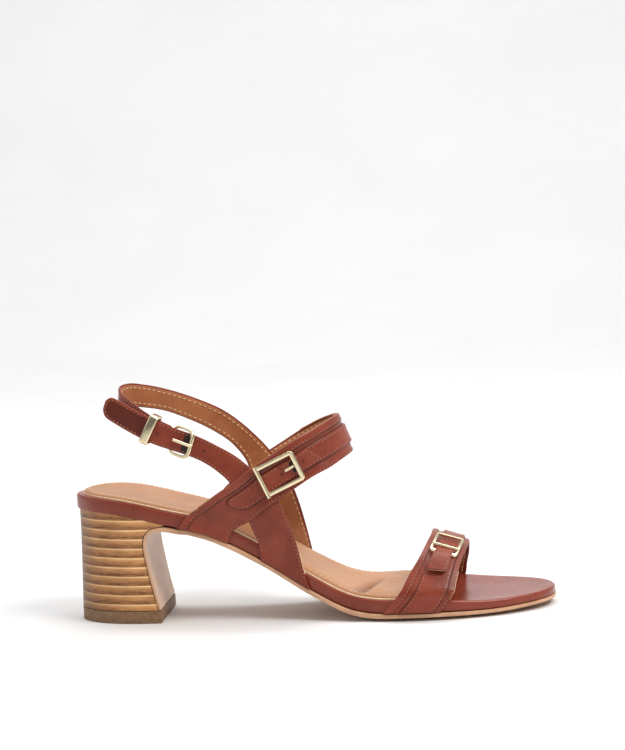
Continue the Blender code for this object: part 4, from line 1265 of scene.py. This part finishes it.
    # punched holes, dark with painted shade
    spots = []
    for strap, at, c, height in (
        (outer, outer.distance(ANKLE_AT) + 0.0125, 0.0, 0.0),
        (outer, outer.distance(ANKLE_AT) - 0.0125, 0.0, 0.0),
        (instep, middle + 0.0005, 0.03, OVERLAY),
        (instep, middle + 0.0125, 0.03, OVERLAY + 0.0006),
    ):
        here, along, wide, normal = strap.frame(at, c)
        spots.append((here + normal * height, normal, along))
    finish_piece(disc("strap_holes", spots, 0.00075), HOLE_SHADE, "strap")
    # Dark patches beside the ankle tongue and the instep buckle's bar: painted shade.
    at = outer.distance(ANKLE_AT)
    patch(outer, "ankle_opening_shade", at - 0.0028, 0.0, (0.0040, 0.0096), 0.00008, HOLE_SHADE)
    spot = middle + INSTEP_BUCKLE[0] / 2 - BAR - 0.0010
    patch(instep, "instep_opening_shade", spot, 0.0, (0.0022, 0.0062), OVERLAY + 0.00065, HOLE_SHADE)
    return outer, inner, instep, toe


def rod(name, frame, points, radius):
    """Metal pin along points given along, across and over the strap."""
    here, along, wide, normal = frame
    return tube(name, [here + along * x + wide * y + normal * z for x, y, z in points], radius, 12)


def make_buckles(outer, instep, toe):
    """Ankle buckle with its tongue and keeper, instep buckle with its tongue, and toe slider."""
    here, along, wide, normal = outer.frame(outer.distance(ANKLE_AT))
    swing = math.radians(ANKLE_TILT)
    run = along * math.cos(swing) - normal * math.sin(swing)
    out = normal * math.cos(swing) + along * math.sin(swing)
    spot = here - normal * (WALL / 2)
    made = hoop("ankle_frame", spot, (run, wide, out), ANKLE_BUCKLE, ANKLE_BAR, ANKLE_BAR, 0.26, 2.6, heavy=(0.0, 0.45))
    finish_piece(made, GOLD, "metal", "ankle_buckle")
    reach = ANKLE_BUCKLE[0] / 2
    high = reach * math.sin(swing) - WALL / 2 + BAR / 2 + CLEAR + PIN
    x0, z0, x1, z1 = reach * 0.55, PIN / 2 + CLEAR + 0.0001, -reach * 1.05, high
    points = [(x0 + (x1 - x0) * t, 0.0, z0 + (z1 - z0) * t) for t in np.linspace(0, 1, 12)]
    finish_piece(rod("ankle_tongue", (here, along, wide, normal), points, 0.00080), GOLD, "metal", "ankle_pin")
    here, along, wide, normal = outer.frame(outer.distance(KEEPER_AT))
    spot = here - normal * KEEPER_SINK
    made = hoop("ankle_loop", spot, (normal, wide, along), KEEPER_HOLE, KEEPER_WALL, KEEPER, 0.09, 5.0)
    finish_piece(made, GOLD, "metal", "ankle_keeper")
    here, along, wide, normal = instep.frame(instep.distance(INSTEP_AT), -0.05)
    spot = here + normal * (OVERLAY + CLEAR + BAR / 2) + along * 0.0005 + wide * WIDE_SHIFT
    tilt = math.radians(BUCKLE_TURN)
    long_way = along * math.cos(tilt) + wide * math.sin(tilt)
    cross_way = wide * math.cos(tilt) - along * math.sin(tilt)
    size = (INSTEP_BUCKLE[0] + 0.0010, INSTEP_BUCKLE[1] + 0.0004)
    made = hoop("instep_frame", spot, (long_way, cross_way, normal), size, 0.0020, BAR, 0.07, 5.0, heavy=(0.15, 0.0))
    finish_piece(made, GOLD, "metal", "instep_buckle")
    end = spot - long_way * (size[0] / 2 - 0.0009) + normal * 0.0002
    points = [end + cross_way * size[1] * t for t in np.linspace(-0.53, 0.53, 9)]
    finish_piece(tube("instep_end_bar", points, 0.00110, 14), GOLD, "metal")
    bar_at = INSTEP_BUCKLE[0] / 2 - BAR + 0.0004
    high = OVERLAY + CLEAR + PIN / 2 + 0.0006
    points = [(bar_at - STUB * t, 0.0002, high - 0.0006 * t) for t in np.linspace(0, 1, 7)]
    finish_piece(rod("instep_tongue", (here, along, wide, normal), points, 0.00085), GOLD, "metal", "instep_pin")
    here, along, wide, normal = toe.frame(toe.distance(TOE_AT), 0.05)
    spot = here + normal * (OVERLAY + 0.0009) - along * 0.0019
    size = (TOE_BUCKLE[0] + 0.0038, TOE_BUCKLE[1])
    made = hoop("toe_frame", spot, (along, wide, normal), size, 0.0014, 0.0013, 0.06, 5.0, bend=16.0)
    finish_piece(made, GOLD, "metal", "toe_buckle")
    cross = here + normal * (OVERLAY + 0.0013) - along * (TOE_BUCKLE[0] / 2 - 0.0009)
    points = [cross + wide * size[1] * t for t in np.linspace(-0.46, 0.46, 9)]
    finish_piece(tube("toe_cross_bar", points, 0.00085, 14), GOLD, "metal")


# Turn of the instep buckle on its strap, in degrees, and its shift across it
BUCKLE_TURN = 4.0
WIDE_SHIFT = 0.0


# Camera fitted to the photo: yaw, pitch and roll, focal length in pixels, place from the heel's back
CAMERA_TURN = (4.81, 4.80, -2.76)
CAMERA_FOCAL = 2286.0
CAMERA_AT = (0.217, -1.131, 0.2135)
IMAGE_HEIGHT = 750.0


def make_stage():
    """Pale floor that curves up behind the shoe, lights and the photo's camera."""
    profile_line = [(-6.0, 0.0), (1.4, 0.0)]
    for k in range(1, 13):
        angle = math.radians(90 * k / 12)
        profile_line.append((1.4 + 1.0 * math.sin(angle), 1.0 - 1.0 * math.cos(angle)))
    profile_line.append((2.4, 4.0))
    verts = []
    for y, z in profile_line:
        verts += [(-4.0, y, z), (4.0, y, z)]
    faces = [[2 * i, 2 * i + 1, 2 * i + 3, 2 * i + 2] for i in range(len(profile_line) - 1)]
    mesh = bpy.data.meshes.new("floor")
    mesh.from_pydata(verts, [], faces)
    mesh.shade_smooth()
    floor = bpy.data.objects.new("floor", mesh)
    bpy.context.scene.collection.objects.link(floor)
    floor.data.materials.append(plain("floor_pale", (0.72, 0.72, 0.72), (0.74, 0.74, 0.74), 0.7, 6.0, 0.0))
    for name, spot, aim, size, power, colour in LIGHTS:
        lamp = bpy.data.lights.new(name, "AREA")
        lamp.shape = "RECTANGLE"
        lamp.size, lamp.size_y = size
        lamp.energy = power
        lamp.color = colour
        made = bpy.data.objects.new(name, lamp)
        way = Vector(aim) - Vector(spot)
        made.location = spot
        made.rotation_euler = way.to_track_quat("-Z", "Y").to_euler()
        bpy.context.scene.collection.objects.link(made)
    world = bpy.data.worlds.new("studio")
    world.use_nodes = True
    tree = world.node_tree
    split = tree.nodes.new("ShaderNodeSeparateXYZ")
    tree.links.new(tree.nodes.new("ShaderNodeTexCoord").outputs["Generated"], split.inputs["Vector"])
    shades = []
    for axis, low, high in (("Y", -0.92, -0.30), ("Z", 0.30, 0.75)):
        node = tree.nodes.new("ShaderNodeMapRange")
        node.inputs["From Min"].default_value = low
        node.inputs["From Max"].default_value = high
        node.inputs["To Min"].default_value = WORLD * 0.25
        node.inputs["To Max"].default_value = WORLD
        tree.links.new(split.outputs[axis], node.inputs["Value"])
        shades.append(node.outputs["Result"])
    top = tree.nodes.new("ShaderNodeMath")
    top.operation = "MAXIMUM"
    tree.links.new(shades[0], top.inputs[0])
    tree.links.new(shades[1], top.inputs[1])
    tree.links.new(top.outputs[0], tree.nodes["Background"].inputs["Strength"])
    tree.nodes["Background"].inputs["Color"].default_value = (1.0, 1.0, 1.0, 1.0)
    bpy.context.scene.world = world
    bpy.context.scene.view_settings.view_transform = "Standard"
    yaw, pitch, roll = [math.radians(angle) for angle in CAMERA_TURN]
    back = Vector((math.sin(yaw) * math.cos(pitch), -math.cos(yaw) * math.cos(pitch), math.sin(pitch)))
    right = Vector((math.cos(yaw), math.sin(yaw), 0.0))
    up = back.cross(right)
    right, up = (right * math.cos(roll) + up * math.sin(roll), up * math.cos(roll) - right * math.sin(roll))
    camera = bpy.data.cameras.new("photo_camera")
    camera.sensor_width = 36.0
    camera.lens = CAMERA_FOCAL * camera.sensor_width / IMAGE_HEIGHT
    camera.clip_start = 0.05
    made = bpy.data.objects.new("photo_camera", camera)
    turned = Matrix((right, up, back)).transposed().to_4x4()
    turned.translation = Vector((CAMERA_AT[0] - ORIGIN * LENGTH, *CAMERA_AT[1:]))
    made.matrix_world = turned
    bpy.context.scene.collection.objects.link(made)
    bpy.context.scene.camera = made


# Lights: name, place, aim, size, power and colour
LIGHTS = (
    ("key", (0.80, -0.50, 1.05), (0.08, 0.0, 0.05), (0.6, 0.5), 12.0, (1.0, 0.985, 0.96)),
    ("fill", (-0.80, -0.90, 0.60), (0.08, 0.0, 0.05), (0.6, 0.6), 0.9, (1.0, 1.0, 1.0)),
    ("top", (0.10, 0.35, 1.30), (0.10, 0.0, 0.05), (1.4, 0.9), 6.0, (1.0, 1.0, 1.0)),
    ("backdrop", (0.0, 0.6, 2.2), (0.0, 2.4, 0.9), (2.0, 1.0), 36.0, (1.0, 1.0, 1.0)),
)
WORLD = 0.72


make_platform()
make_pad()
make_outsole()
make_heel()
OUTER, INNER, INSTEP_STRAP, TOE_STRAP = make_straps()
make_buckles(OUTER, INSTEP_STRAP, TOE_STRAP)
make_stage()
